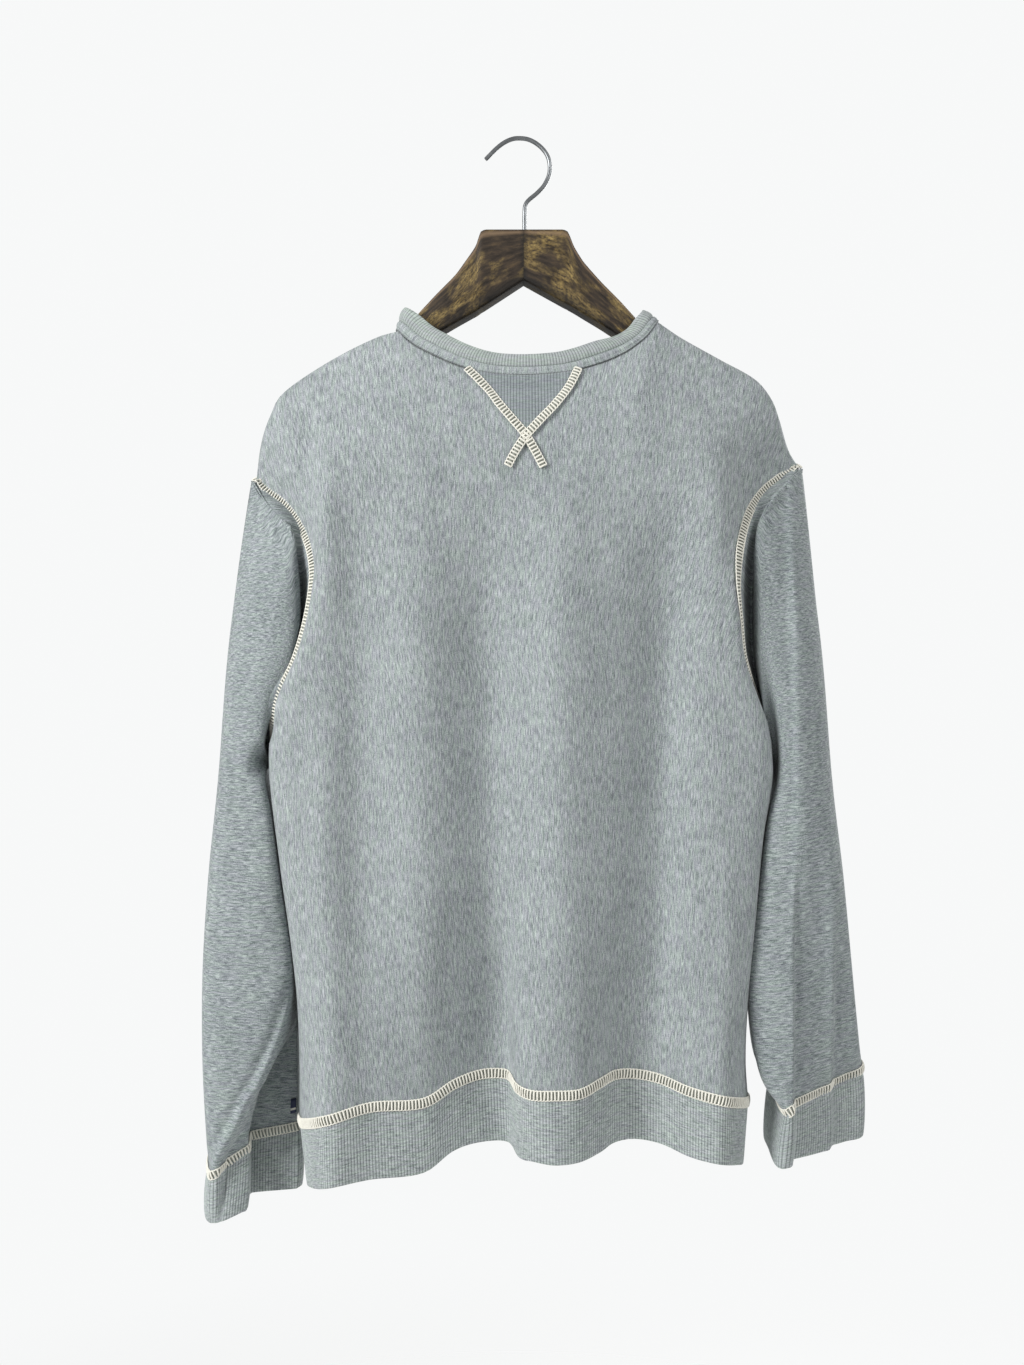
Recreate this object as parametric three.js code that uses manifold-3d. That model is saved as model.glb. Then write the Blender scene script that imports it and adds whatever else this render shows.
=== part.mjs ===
// A crewneck sweatshirt on a wooden hanger, seen from the back.
// Millimetres. +X is to the viewer's right, +Y away from the viewer and +Z up.
// The origin is the inside of the hook's top, where the hanger hangs.

import * as THREE from 'three';
import { mergeVertices } from 'three/addons/utils/BufferGeometryUtils.js';
import Module from 'manifold-3d';

const manifoldLibrary = await Module();
manifoldLibrary.setup();

// Driving dimensions

const CLOTH = 2;                 // thickness of the knitted fleece
const RIB_CLOTH = 2.2;           // thickness of the ribbed bands between two ribs
const SEAM_GAP = 0.36;           // space between two pieces at a seam
const RIB_PITCH = 8;             // every fourth rib of the real 2 mm ribbing
const RIB_HEIGHT = 0.8;          // how far a rib stands out of its band
const NECK_HEIGHT = 18;          // the whole neckband
const BINDING_SHARE = 0.42;      // its lower part is a smooth strip, the rest is ribbed
const BINDING_CROWN = 0.3;       // how far the strip stands proud along its middle
const NECK_LEAN = 5;             // how far the neckband leans in from its seam to its edge
const FOLDED_FROM = 70;          // towards the right shoulder the neckband folds outwards
const FOLDED_OVER = 45;
const FOLDED_HEIGHT = 0.5;
const FOLDED_LEAN = 2;
const SHOULDER_ROUND = 8;        // how far down the cloth rounds over the hanger
const SHOULDER_SHARE = 0.25;     // share of the body's depth that this round takes
const SHOULDER_SLOPE = 110;      // how far down the cloth slopes out to its full depth
const CHEST_NEAR = -57;          // depth of the back panel's flat middle
const CHEST_FAR = 44;            // depth of the front panel's flat middle
const EDGE_ROUND = 5;            // a higher power gives the body a tighter side edge
const WIRE = 3.6;                // diameter of the hook's wire

// Shares of a panel's top edge, side edge and grid

const NECK_START = 0.31;         // where the neck seam starts along the top edge
const NECK_END = 0.7;            // where it ends
const UNDERARM = 0.44;           // where the armhole ends along the side edge
const SHOULDER_COLUMNS = 8;
const NECK_COLUMNS = 14;
const ARMHOLE_ROWS = 12;
const SIDE_ROWS = 9;
const EDGE_CROWDING = 1.25;      // columns crowd towards the sides
const TOP_CROWDING = 1.35;       // rows crowd towards the shoulders

// Turns a table with named columns into a list of rows

function table(columns, rows) {
  return rows.map((row) => Object.fromEntries(columns.map((name, i) => [name, row[i]])));
}

const POINT = ['x', 'y', 'z'];

const shoulderLeft = table(POINT, [
  [-220, 0, -287],
  [-217, 0, -262],
  [-213, 0, -245],
  [-207, 0, -230],
  [-200, 0, -217],
  [-183, 0, -203],
  [-149, 0, -182],
  [-116, 0, -166],
  [-101, 0, -162],
]);

const shoulderRight = table(POINT, [
  [119, 0, -154],
  [138, 0, -167],
  [172, 0, -186],
  [202, 0, -203],
  [216, 0, -220],
  [222, 0, -235],
  [230, 0, -262],
  [238, 0, -276],
]);

const backNeckSeam = table(POINT, [
  [-101, 0, -162],
  [-100, -8, -163],
  [-97, -15, -167],
  [-90, -19, -175],
  [-80, -23, -183],
  [-46, -34, -201],
  [-14, -38, -209],
  [35, -37, -208],
  [68, -32, -199],
  [88, -27, -189],
  [105, -21, -175],
  [114, -16, -163],
  [118, -8, -156],
  [119, 0, -154],
]);

const frontNeckSeam = table(POINT, [
  [119, 0, -154],
  [118, 8, -157],
  [114, 15, -167],
  [97, 21, -198],
  [72, 26, -228],
  [42, 30, -250],
  [9, 31, -256],
  [-25, 30, -250],
  [-55, 26, -232],
  [-79, 21, -206],
  [-96, 15, -175],
  [-100, 8, -165],
  [-101, 0, -162],
]);

const armholeLeft = table(POINT, [
  [-220, 0, -287],
  [-206, -14, -300],
  [-192, -27, -311],
  [-179, -38, -327],
  [-168, -47, -350],
  [-164, -50, -374],
  [-169, -49, -408],
  [-180, -41, -442],
  [-198, -26, -475],
  [-205, -14, -494],
  [-207, 0, -512],
]);

const armholeRight = table(POINT, [
  [238, 0, -276],
  [224, -14, -285],
  [206, -29, -299],
  [191, -42, -319],
  [181, -49, -348],
  [178, -50, -376],
  [181, -47, -408],
  [186, -39, -440],
  [199, -24, -473],
  [208, -12, -494],
  [213, 0, -512],
]);

const sideLeft = table(POINT, [
  [-207, 0, -512],
  [-206, 0, -545],
  [-198, 0, -609],
  [-188, -4, -676],
  [-183, -7, -730],
  [-182, -10, -824],
]);

const sideRight = table(POINT, [
  [213, 0, -512],
  [214, 0, -540],
  [206, 0, -590],
  [199, 0, -660],
  [194, -3, -727],
  [193, -4, -777],
  [195, -5, -809],
]);

// The hem's waves: near points are the folds that come forward

const backHemSeam = table(POINT, [
  [-182, -10, -824],
  [-174, -36, -819],
  [-150, -66, -806],
  [-118, -56, -799],
  [-75, -45, -799],
  [-51, -32, -788],
  [-30, -24, -783],
  [-8, -25, -782],
  [1, -46, -786],
  [12, -60, -787],
  [30, -64, -787],
  [50, -60, -787],
  [68, -44, -783],
  [81, -30, -781],
  [98, -24, -782],
  [118, -31, -784],
  [140, -48, -789],
  [163, -57, -793],
  [186, -36, -802],
  [195, -5, -809],
]);

const backHemEdge = table(POINT, [
  [-176, -10, -874],
  [-170, -36, -870],
  [-149, -69, -858],
  [-118, -57, -856],
  [-75, -45, -855],
  [-51, -32, -842],
  [-30, -24, -838],
  [-8, -23, -838],
  [2, -45, -843],
  [13, -61, -840],
  [30, -66, -841],
  [50, -60, -841],
  [68, -44, -839],
  [81, -30, -836],
  [98, -22, -836],
  [118, -30, -837],
  [140, -49, -841],
  [162, -59, -843],
  [183, -36, -852],
  [191, -5, -863],
]);

const frontHemSeam = table(POINT, [
  [195, -5, -809],
  [184, 22, -803],
  [142, 44, -794],
  [95, 36, -788],
  [50, 46, -790],
  [0, 37, -792],
  [-50, 44, -795],
  [-90, 36, -800],
  [-132, 43, -808],
  [-170, 22, -818],
  [-182, -10, -824],
]);

const frontHemEdge = table(POINT, [
  [191, -5, -863],
  [181, 21, -858],
  [141, 43, -849],
  [95, 35, -844],
  [50, 46, -846],
  [0, 36, -848],
  [-50, 44, -851],
  [-90, 34, -856],
  [-130, 42, -863],
  [-166, 20, -870],
  [-176, -10, -874],
]);

// Folds that hang in a panel: where each starts and ends, and how deep it is.
// A negative rise comes towards the viewer.

const FOLD = ['topX', 'topZ', 'lowX', 'lowZ', 'width', 'rise'];

const backFolds = table(FOLD, [
  [-177, -215, -168, -375, 14, 10],
  [-163, -250, -160, -420, 9, -4],
  [-133, -340, -128, -590, 20, 7],
  [-62, -500, -52, -770, 24, 12],
  [18, -560, 22, -790, 18, -7],
  [78, -360, 88, -770, 26, 12],
  [150, -290, 158, -760, 22, -7],
  [186, -240, 178, -370, 13, 9],
]);

const frontFolds = table(FOLD, [
  [-150, -300, -140, -700, 24, 7],
  [-92, -420, -90, -780, 26, -9],
  [-30, -330, -48, -740, 22, 5],
  [40, -380, 50, -770, 28, 6],
  [96, -460, 95, -780, 24, -9],
  [150, -260, 146, -680, 22, 6],
]);

// Each row is one ring of a sleeve. outZ and inZ are the heights of its outer and inner
// ends. The eight places go from the outer end by the viewer's side to the inner end,
// and back by the far side.

const RING = [
  'outZ', 'inZ', 'tilt', 'out', 'outNear', 'near', 'inNear', 'in', 'inFar', 'far', 'outFar',
];
const PLACES = RING.slice(3);

const sleeveLeftRings = table(RING, [
  [-330, -524, 0,
    [-231, 1], [-211, -25], [-187, -27], [-212, -15], [-216, 2], [-217, 19], [-197, 30], [-216, 22]],
  [-412, -545, 0,
    [-242, 2], [-226, -29], [-206, -37], [-212, -22], [-213, 3], [-214, 22], [-213, 36], [-229, 26]],
  [-540, -566, 0.1,
    [-252, 2], [-241, -24], [-221, -33], [-210, -18], [-211, 4], [-209, 27], [-223, 41], [-243, 27]],
  [-620, -620, 0.1,
    [-260, 2], [-248, -24], [-226, -33], [-206, -19], [-203, 4], [-203, 28], [-223, 44], [-249, 30]],
  [-700, -700, 0.1,
    [-264, 2], [-253, -24], [-229, -33], [-202, -22], [-190, 0], [-191, 27], [-217, 44], [-251, 30]],
  [-775, -770, 0.15,
    [-263, 2], [-255, -24], [-233, -35], [-201, -25], [-187, 6], [-189, 28], [-215, 43], [-250, 28]],
  [-860, -840, 0.15,
    [-259, 0], [-251, -27], [-239, -35], [-224, -14], [-187, 8], [-189, 25], [-214, 38], [-247, 22]],
]);

const cuffLeftEdge = table(RING, [
  [-906, -891, 0.1,
    [-262, 0], [-253, -27], [-240, -35], [-226, -16], [-187, 6], [-188, 24], [-214, 37], [-248, 22]],
]);

const sleeveRightRings = table(RING, [
  [-325, -525, 0,
    [244, 1], [226, -26], [198, -27], [217, -15], [221, 3], [218, 16], [201, 28], [225, 21]],
  [-412, -547, 0,
    [256, 2], [240, -29], [214, -40], [218, -21], [219, 5], [218, 25], [219, 37], [240, 27]],
  [-540, -568, 0.1,
    [267, 2], [250, -27], [227, -42], [216, -20], [218, 6], [217, 28], [235, 42], [257, 28]],
  [-620, -620, 0.1,
    [276, 2], [257, -27], [227, -42], [211, -22], [210, 6], [211, 28], [235, 44], [263, 29]],
  [-700, -700, 0.1,
    [284, 4], [263, -24], [227, -42], [206, -27], [203, 4], [206, 28], [236, 44], [269, 31]],
  [-765, -775, 0.15,
    [292, 9], [265, -17], [224, -42], [203, -31], [201, 1], [206, 26], [239, 42], [275, 33]],
  [-791, -804, 0.2,
    [297, 16], [261, -12], [226, -34], [211, -34], [206, -5], [212, 24], [240, 40], [276, 34]],
]);

const cuffRightEdge = table(RING, [
  [-848, -853, 0.1,
    [298, 16], [263, -11], [228, -34], [213, -34], [208, -5], [213, 23], [241, 38], [277, 33]],
]);

const SLEEVE_STEPS = [2, 2, 3, 2, 2, 2, 3];
const RING_BOW = 1.3;            // a ring's sides keep nearer the height of its outer end
const EVEN_RING = 3;             // the ring from where a sleeve's columns are evenly spaced

// The hanger's halves: height of the wood's top and underside along each arm

const ARM = ['x', 'top', 'low', 'half'];

const armLeft = table(ARM, [
  [5.8, -78, -121, 10],
  [-30, -78, -144.5, 10],
  [-34, -92, -147, 10],
  [-51, -116, -156.5, 10],
  [-67, -132, -166, 10],
  [-83, -149, -177, 9.5],
  [-97, -170, -187, 9],
  [-116, -173, -194, 8],
  [-149, -189, -211, 8],
  [-180, -208.5, -227, 8],
]);

const armRight = table(ARM, [
  [6.2, -78, -121, 10],
  [43, -78, -141.5, 10],
  [48, -92, -144, 10],
  [56, -105, -149, 10],
  [71, -122, -158, 10],
  [87, -138, -168.5, 10],
  [99, -151, -178, 9.5],
  [112, -166.5, -188, 8.5],
  [138, -174, -199, 8],
  [172, -192.5, -215, 8],
  [196, -208, -226, 7.5],
]);

const HOOK_X = 7;
const HOOK_HOLE_DEPTH = 18;
const HOOK_PLAY = 0.5;
const hookPath = [
  [HOOK_X, -92],
  [HOOK_X, -58],
  [9, -52],
  [18, -44],
  [24, -37],
  [28, -27],
  [27, -15],
  [21, -6],
  [11, 0.5],
  [0, 1.8],
  [-8, -0.5],
  [-16, -6],
  [-26, -16],
];

// Small vector help

const add = (a, b, k = 1) => a.map((value, i) => value + b[i] * k);
const minus = (a, b) => a.map((value, i) => value - b[i]);
const mix = (a, b, k) => a + (b - a) * k;
const mixPoint = (a, b, k) => a.map((value, i) => mix(value, b[i], k));
const length = (a) => Math.hypot(...a);
const unit = (a) => a.map((value) => value / (length(a) || 1));
const cross = (a, b) => [
  a[1] * b[2] - a[2] * b[1],
  a[2] * b[0] - a[0] * b[2],
  a[0] * b[1] - a[1] * b[0],
];
const dot = (a, b) => a[0] * b[0] + a[1] * b[1] + a[2] * b[2];
const clamp = (value) => Math.min(1, Math.max(0, value));
const ease = (value) => clamp(value) ** 2 * (3 - 2 * clamp(value));

// Smooth reading of values at stated places: a cubic through every value

function smooth(places, values, at, loop = 0) {
  const last = places.length - 1;
  const placeAt = (i) => (loop ? places[(i + loop) % loop] + Math.floor(i / loop) : places[i]);
  const valueAt = (i) => (loop ? values[(i + loop) % loop] : values[i]);
  const final = loop ? loop - 1 : last - 1;
  let i = 0;
  while (i < final && placeAt(i + 1) < at) {
    i += 1;
  }
  const slope = (k) => {
    const before = loop || k > 0 ? k - 1 : k;
    const after = loop || k < last ? k + 1 : k;
    const reach = placeAt(after) - placeAt(before);
    return minus(valueAt(after), valueAt(before)).map((value) => value / reach);
  };
  const span = placeAt(i + 1) - placeAt(i);
  const s = clamp((at - placeAt(i)) / span);
  const start = slope(i);
  const end = slope(i + 1);
  const weights = [
    2 * s ** 3 - 3 * s ** 2 + 1,
    (s ** 3 - 2 * s ** 2 + s) * span,
    3 * s ** 2 - 2 * s ** 3,
    (s ** 3 - s ** 2) * span,
  ];
  return valueAt(i).map((value, c) => value * weights[0] + start[c] * weights[1]
    + valueAt(i + 1)[c] * weights[2] + end[c] * weights[3]);
}

// A smooth line through a table's points, read by its share of the length

function line(rows) {
  const points = rows.map((row) => [row.x, row.y, row.z]);
  const places = [0];
  for (let i = 1; i < points.length; i += 1) {
    places.push(places[i - 1] + length(minus(points[i], points[i - 1])));
  }
  const total = places[places.length - 1];
  const shares = places.map((place) => place / total);
  return (at) => smooth(shares, points, at);
}

// The cloth rounds over the hanger along the shoulders' ridge, and slopes out below it

const ridge = [...shoulderLeft, ...shoulderRight];
const ridgePlaces = ridge.map((row) => row.x);
const ridgeHeights = ridge.map((row) => [row.z]);

function spread(x, z) {
  const below = Math.max(0, smooth(ridgePlaces, ridgeHeights, x)[0] - z);
  const round = Math.sqrt(1 - (1 - clamp(below / SHOULDER_ROUND)) ** 2);
  const slope = Math.sin((Math.PI / 2) * clamp(below / SHOULDER_SLOPE));
  return mix(slope, round, SHOULDER_SHARE);
}

// A panel: its four edges, its depth in the middle, and its folds

function panel({ tipStart, neck, tipEnd, starts, ends, sides, hem, chest, folds, armSign }) {
  const topLines = [line(tipStart), line(neck), line(tipEnd)];
  const hemLine = line(hem);
  const sideLines = sides.map((side) => ({ armhole: line(side.armhole), seam: line(side.seam) }));

  const top = (u) => {
    if (u < starts) {
      return topLines[0](u / starts);
    }
    if (u <= ends) {
      return topLines[1]((u - starts) / (ends - starts));
    }
    return topLines[2]((u - ends) / (1 - ends));
  };

  const side = (which, v) => {
    if (v < UNDERARM) {
      const [x, y, z] = sideLines[which].armhole(v / UNDERARM);
      return [x, y * armSign, z];
    }
    return sideLines[which].seam((v - UNDERARM) / (1 - UNDERARM));
  };

  const foldDepth = (x, z) => folds.reduce((sum, fold) => {
    const along = (z - fold.topZ) / (fold.lowZ - fold.topZ);
    const middle = mix(fold.topX, fold.lowX, along);
    const strength = ease(along * 3) * ease((1 - along) * 3);
    return sum + fold.rise * strength * Math.exp(-(((x - middle) / fold.width) ** 2));
  }, 0);

  return (u, v) => {
    const [t, b, l, r] = [top(u), hemLine(u), side(0, v), side(1, v)];
    const corner = [top(0), top(1), hemLine(0), hemLine(1)];
    const blend = (c) => (1 - v) * t[c] + v * b[c] + (1 - u) * l[c] + u * r[c]
      - (1 - u) * (1 - v) * corner[0][c] - u * (1 - v) * corner[1][c]
      - (1 - u) * v * corner[2][c] - u * v * corner[3][c];
    const x = blend(0);
    const z = blend(2);
    const edge = Math.sqrt(1 - Math.abs(2 * u - 1) ** EDGE_ROUND);
    const flat = mix(mix(l[1], r[1], u), chest + foldDepth(x, z), edge);
    const body = mix(flat, b[1], ease((v - 0.5) / 0.5));
    return [x, body * spread(x, z), z];
  };
}

const reversed = (rows) => [...rows].reverse();

const backSurface = panel({
  tipStart: shoulderLeft,
  neck: backNeckSeam,
  tipEnd: shoulderRight,
  starts: NECK_START,
  ends: NECK_END,
  sides: [
    { armhole: armholeLeft, seam: sideLeft },
    { armhole: armholeRight, seam: sideRight },
  ],
  hem: backHemSeam,
  chest: CHEST_NEAR,
  folds: backFolds,
  armSign: 1,
});

const frontSurface = panel({
  tipStart: reversed(shoulderRight),
  neck: frontNeckSeam,
  tipEnd: reversed(shoulderLeft),
  starts: 1 - NECK_END,
  ends: 1 - NECK_START,
  sides: [
    { armhole: armholeRight, seam: sideRight },
    { armhole: armholeLeft, seam: sideLeft },
  ],
  hem: frontHemSeam,
  chest: CHEST_FAR,
  folds: frontFolds,
  armSign: -0.8,
});

// Columns and rows of the panels' grids

const backColumns = [];
for (let i = 0; i < SHOULDER_COLUMNS; i += 1) {
  backColumns.push(NECK_START * (i / SHOULDER_COLUMNS) ** EDGE_CROWDING);
}
for (let i = 0; i < NECK_COLUMNS; i += 1) {
  backColumns.push(mix(NECK_START, NECK_END, i / NECK_COLUMNS));
}
for (let i = SHOULDER_COLUMNS; i >= 0; i -= 1) {
  backColumns.push(1 - (1 - NECK_END) * (i / SHOULDER_COLUMNS) ** EDGE_CROWDING);
}
const frontColumns = backColumns.map((u) => 1 - u).reverse();

const panelRows = [];
for (let j = 0; j < ARMHOLE_ROWS; j += 1) {
  panelRows.push(UNDERARM * (j / ARMHOLE_ROWS) ** TOP_CROWDING);
}
for (let j = 0; j <= SIDE_ROWS; j += 1) {
  panelRows.push(mix(UNDERARM, 1, j / SIDE_ROWS));
}

// A grid is a list of rows, each a list of points. Its outward side is found from the
// way down crossed with the way across.

function normalsOf(grid, { loop = false, flip = false } = {}) {
  const rowCount = grid.length;
  const columnCount = grid[0].length;
  return grid.map((row, j) => row.map((point, i) => {
    const up = grid[Math.max(j - 1, 0)][i];
    const down = grid[Math.min(j + 1, rowCount - 1)][i];
    const left = loop ? row[(i + columnCount - 1) % columnCount] : row[Math.max(i - 1, 0)];
    const right = loop ? row[(i + 1) % columnCount] : row[Math.min(i + 1, columnCount - 1)];
    const normal = unit(cross(minus(down, up), minus(right, left)));
    return flip ? normal.map((value) => -value) : normal;
  }));
}

const backGrid = panelRows.map((v) => backColumns.map((u) => backSurface(u, v)));
const frontGrid = panelRows.map((v) => frontColumns.map((u) => frontSurface(u, v)));
const backNormals = normalsOf(backGrid);
const frontNormals = normalsOf(frontGrid);
const lastColumn = backColumns.length - 1;
const lastRow = panelRows.length - 1;

// Where the two panels share a seam they share their normals

function shareNormal(row, column) {
  const shared = unit(add(backNormals[row][column], frontNormals[row][lastColumn - column]));
  backNormals[row][column] = shared;
  frontNormals[row][lastColumn - column] = shared;
}

for (let i = 0; i <= SHOULDER_COLUMNS; i += 1) {
  shareNormal(0, i);
  shareNormal(0, lastColumn - i);
}
for (let j = ARMHOLE_ROWS; j <= lastRow; j += 1) {
  shareNormal(j, 0);
  shareNormal(j, lastColumn);
}

// Turns points and triangles into a mesh, with the shared corners merged

function solid(points, faces) {
  const geometry = new THREE.BufferGeometry();
  geometry.setAttribute('position', new THREE.Float32BufferAttribute(points.flat(), 3));
  geometry.setIndex(faces.flat());
  geometry.computeVertexNormals();
  return geometry;
}

// A wall of even thickness behind a grid of outer points. Where the grid isn't a loop
// its two ends are closed as well.

function wall(outer, inner, { loop = false, flip = false } = {}) {
  const rows = outer.length;
  const columns = outer[0].length;
  const points = [...outer.flat(), ...inner.flat()];
  const behind = rows * columns;
  const at = (j, i) => j * columns + (i % columns);
  const faces = [];
  const quad = (a, b, c, d) => {
    if (flip) {
      faces.push([a, b, c], [a, c, d]);
    } else {
      faces.push([a, c, b], [a, d, c]);
    }
  };
  const spans = loop ? columns : columns - 1;
  for (let j = 0; j < rows - 1; j += 1) {
    for (let i = 0; i < spans; i += 1) {
      const corners = [at(j, i), at(j, i + 1), at(j + 1, i + 1), at(j + 1, i)];
      quad(...corners);
      quad(...corners.map((corner) => corner + behind).reverse());
    }
  }
  for (let i = 0; i < spans; i += 1) {
    quad(at(0, i), at(0, i) + behind, at(0, i + 1) + behind, at(0, i + 1));
    const [a, b] = [at(rows - 1, i), at(rows - 1, i + 1)];
    quad(a, b, b + behind, a + behind);
  }
  if (!loop) {
    for (let j = 0; j < rows - 1; j += 1) {
      quad(at(j, 0), at(j + 1, 0), at(j + 1, 0) + behind, at(j, 0) + behind);
      const [a, b] = [at(j, columns - 1), at(j + 1, columns - 1)];
      quad(a, a + behind, b + behind, b);
    }
  }
  return solid(points, faces);
}

const insideOf = (grid, normals, thickness) => grid.map((row, j) => row.map(
  (point, i) => add(point, normals[j][i], -thickness),
));

// Draws a panel's edge back from its seams, by half of the seam's gap. Its armholes are
// drawn back already.

function trimmed(grid) {
  const rows = grid.length - 1;
  const columns = grid[0].length - 1;
  const towards = (point, other) => add(point, unit(minus(other, point)), SEAM_GAP * 0.6);
  return grid.map((row, j) => row.map((point, i) => {
    let moved = point;
    if (j === 0) {
      moved = towards(moved, grid[1][i]);
    }
    if (j === rows) {
      moved = towards(moved, grid[rows - 1][i]);
    }
    if (i === 0 && j >= ARMHOLE_ROWS) {
      moved = towards(moved, row[1]);
    }
    if (i === columns && j >= ARMHOLE_ROWS) {
      moved = towards(moved, row[columns - 1]);
    }
    return moved;
  }));
}

function panelWall(grid, normals) {
  const inner = insideOf(grid, normals, CLOTH);
  return wall(trimmed(grid), trimmed(inner));
}

// A sleeve's first ring is the armhole's loop of panel points. The rings below it are
// read from the sleeve's table.

function armholeLoop(backColumn) {
  const frontColumn = lastColumn - backColumn;
  const inward = backColumn === 0 ? 1 : -1;
  const entry = (grid, normals, row, column, [nextRow, nextColumn]) => ({
    places: [[grid, normals, row, column]],
    point: grid[row][column],
    normal: normals[row][column],
    panelWay: minus(grid[nextRow][nextColumn], grid[row][column]),
  });
  const loop = [];
  for (let j = 0; j < ARMHOLE_ROWS; j += 1) {
    loop.push(entry(backGrid, backNormals, j, backColumn, [j, backColumn + inward]));
  }
  const under = ARMHOLE_ROWS;
  loop.push(entry(backGrid, backNormals, under, backColumn, [under + 1, backColumn]));
  for (let j = ARMHOLE_ROWS - 1; j > 0; j -= 1) {
    loop.push(entry(frontGrid, frontNormals, j, frontColumn, [j, frontColumn - inward]));
  }
  [0, under].forEach((j) => loop[j].places.push([frontGrid, frontNormals, j, frontColumn]));
  return loop;
}

// At the armhole the panel and the sleeve meet on the plane halfway between them. Ways
// are taken square to the seam.

function settleArmhole(loop, nextRing, ownNormals) {
  const count = loop.length;
  return loop.map((entry, k) => {
    const before = loop[(k + count - 1) % count].point;
    const seamWay = unit(minus(loop[(k + 1) % count].point, before));
    const square = (way) => unit(add(way, seamWay, -dot(way, seamWay)));
    const panelWay = square(entry.panelWay);
    const sleeveWay = square(minus(nextRing[k], entry.point));
    const hollow = dot(entry.normal, sleeveWay) > 0 ? 1 : -1;
    const both = add(square(entry.normal), square(ownNormals[k]));
    const normal = unit(add(both, add(panelWay, sleeveWay), hollow));
    const across = unit(cross(seamWay, normal));
    const side = Math.sign(dot(across, minus(sleeveWay, panelWay)));
    entry.places.forEach(([grid, normals, row, column]) => {
      normals[row][column] = normal;
      grid[row][column] = add(grid[row][column], across, -side * SEAM_GAP * 0.8);
    });
    return { normal, point: add(entry.point, across, side * SEAM_GAP * 0.8) };
  });
}

// Each point's share of the way round the armhole, with the underarm at one half

function armholeShares(loop) {
  const under = ARMHOLE_ROWS;
  const places = [0];
  for (let k = 1; k <= loop.length; k += 1) {
    const step = minus(loop[k % loop.length].point, loop[k - 1].point);
    places.push(places[k - 1] + length(step));
  }
  return loop.map((entry, k) => (k <= under
    ? (0.5 * places[k]) / places[under]
    : 0.5 + (0.5 * (places[k] - places[under])) / (places[loop.length] - places[under])));
}

function ringPoint(row, share) {
  const places = PLACES.map((name, k) => k / PLACES.length);
  const values = PLACES.map((name) => row[name]);
  const [x, y] = smooth(places, values, share, PLACES.length);
  const inwards = ((1 - Math.cos(2 * Math.PI * share)) / 2) ** RING_BOW;
  return [x, y, mix(row.outZ, row.inZ, inwards) + row.tilt * y];
}

function sleeveGrid(loop, rings) {
  const count = loop.length;
  const knots = [loop.map((entry) => entry.point)];
  const shares = armholeShares(loop);
  rings.forEach((row, n) => {
    const settled = Math.min(1, n / EVEN_RING);
    knots.push(shares.map((share, k) => ringPoint(row, mix(share, k / count, settled))));
  });
  const grid = [];
  SLEEVE_STEPS.forEach((steps, stretch) => {
    for (let s = 0; s < steps; s += 1) {
      const at = stretch + s / steps;
      grid.push(knots[0].map((point, k) => {
        const column = knots.map((knot) => knot[k]);
        return smooth(column.map((value, n) => n), column, at);
      }));
    }
  });
  grid.push(knots[knots.length - 1]);
  return grid;
}

function sleeve(backColumn, rings) {
  const flip = backColumn !== 0;
  const loop = armholeLoop(backColumn);
  const grid = sleeveGrid(loop, rings);
  const normals = normalsOf(grid, { loop: true, flip });
  const settled = settleArmhole(loop, grid[1], normals[0]);
  normals[0] = settled.map((entry) => entry.normal);
  grid[0] = settled.map((entry) => entry.point);
  const inner = insideOf(grid, normals, CLOTH);
  const end = grid.length - 1;
  const raise = (rows) => rows[end].map((point, k) => add(
    point,
    unit(minus(rows[end - 1][k], point)),
    SEAM_GAP * 0.7,
  ));
  const cuffTop = { points: grid[end], normals: normals[end] };
  const outerRows = [...grid.slice(0, end), raise(grid)];
  const innerRows = [...inner.slice(0, end), raise(inner)];
  return { geometry: wall(outerRows, innerRows, { loop: true, flip }), cuffTop, grid, normals };
}

const sleeveLeft = sleeve(0, sleeveLeftRings);
const sleeveRight = sleeve(lastColumn, sleeveRightRings);

// A ribbed band: it starts on a ring of seam points and ends on a ring of edge points.
// Every rib is one ridge on the outside, and the inside is plain.

function sampleLoop(points, share) {
  const at = (share % 1) * points.length;
  const i = Math.floor(at) % points.length;
  return mixPoint(points[i], points[(i + 1) % points.length], at - Math.floor(at));
}

function loopLength(points) {
  return points.reduce((sum, point, i) => sum
    + length(minus(points[(i + 1) % points.length], point)), 0);
}

// Shares that are evenly spaced along a loop of unevenly spaced points

function evenShares(points, count) {
  const steps = points.map((point, i) => length(minus(points[(i + 1) % points.length], point)));
  const total = steps.reduce((sum, step) => sum + step, 0);
  const shares = [];
  let i = 0;
  let passed = 0;
  for (let k = 0; k < count; k += 1) {
    const target = (total * k) / count;
    while (passed + steps[i] < target) {
      passed += steps[i];
      i += 1;
    }
    shares.push((i + (target - passed) / steps[i]) / points.length);
  }
  return shares;
}

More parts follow.
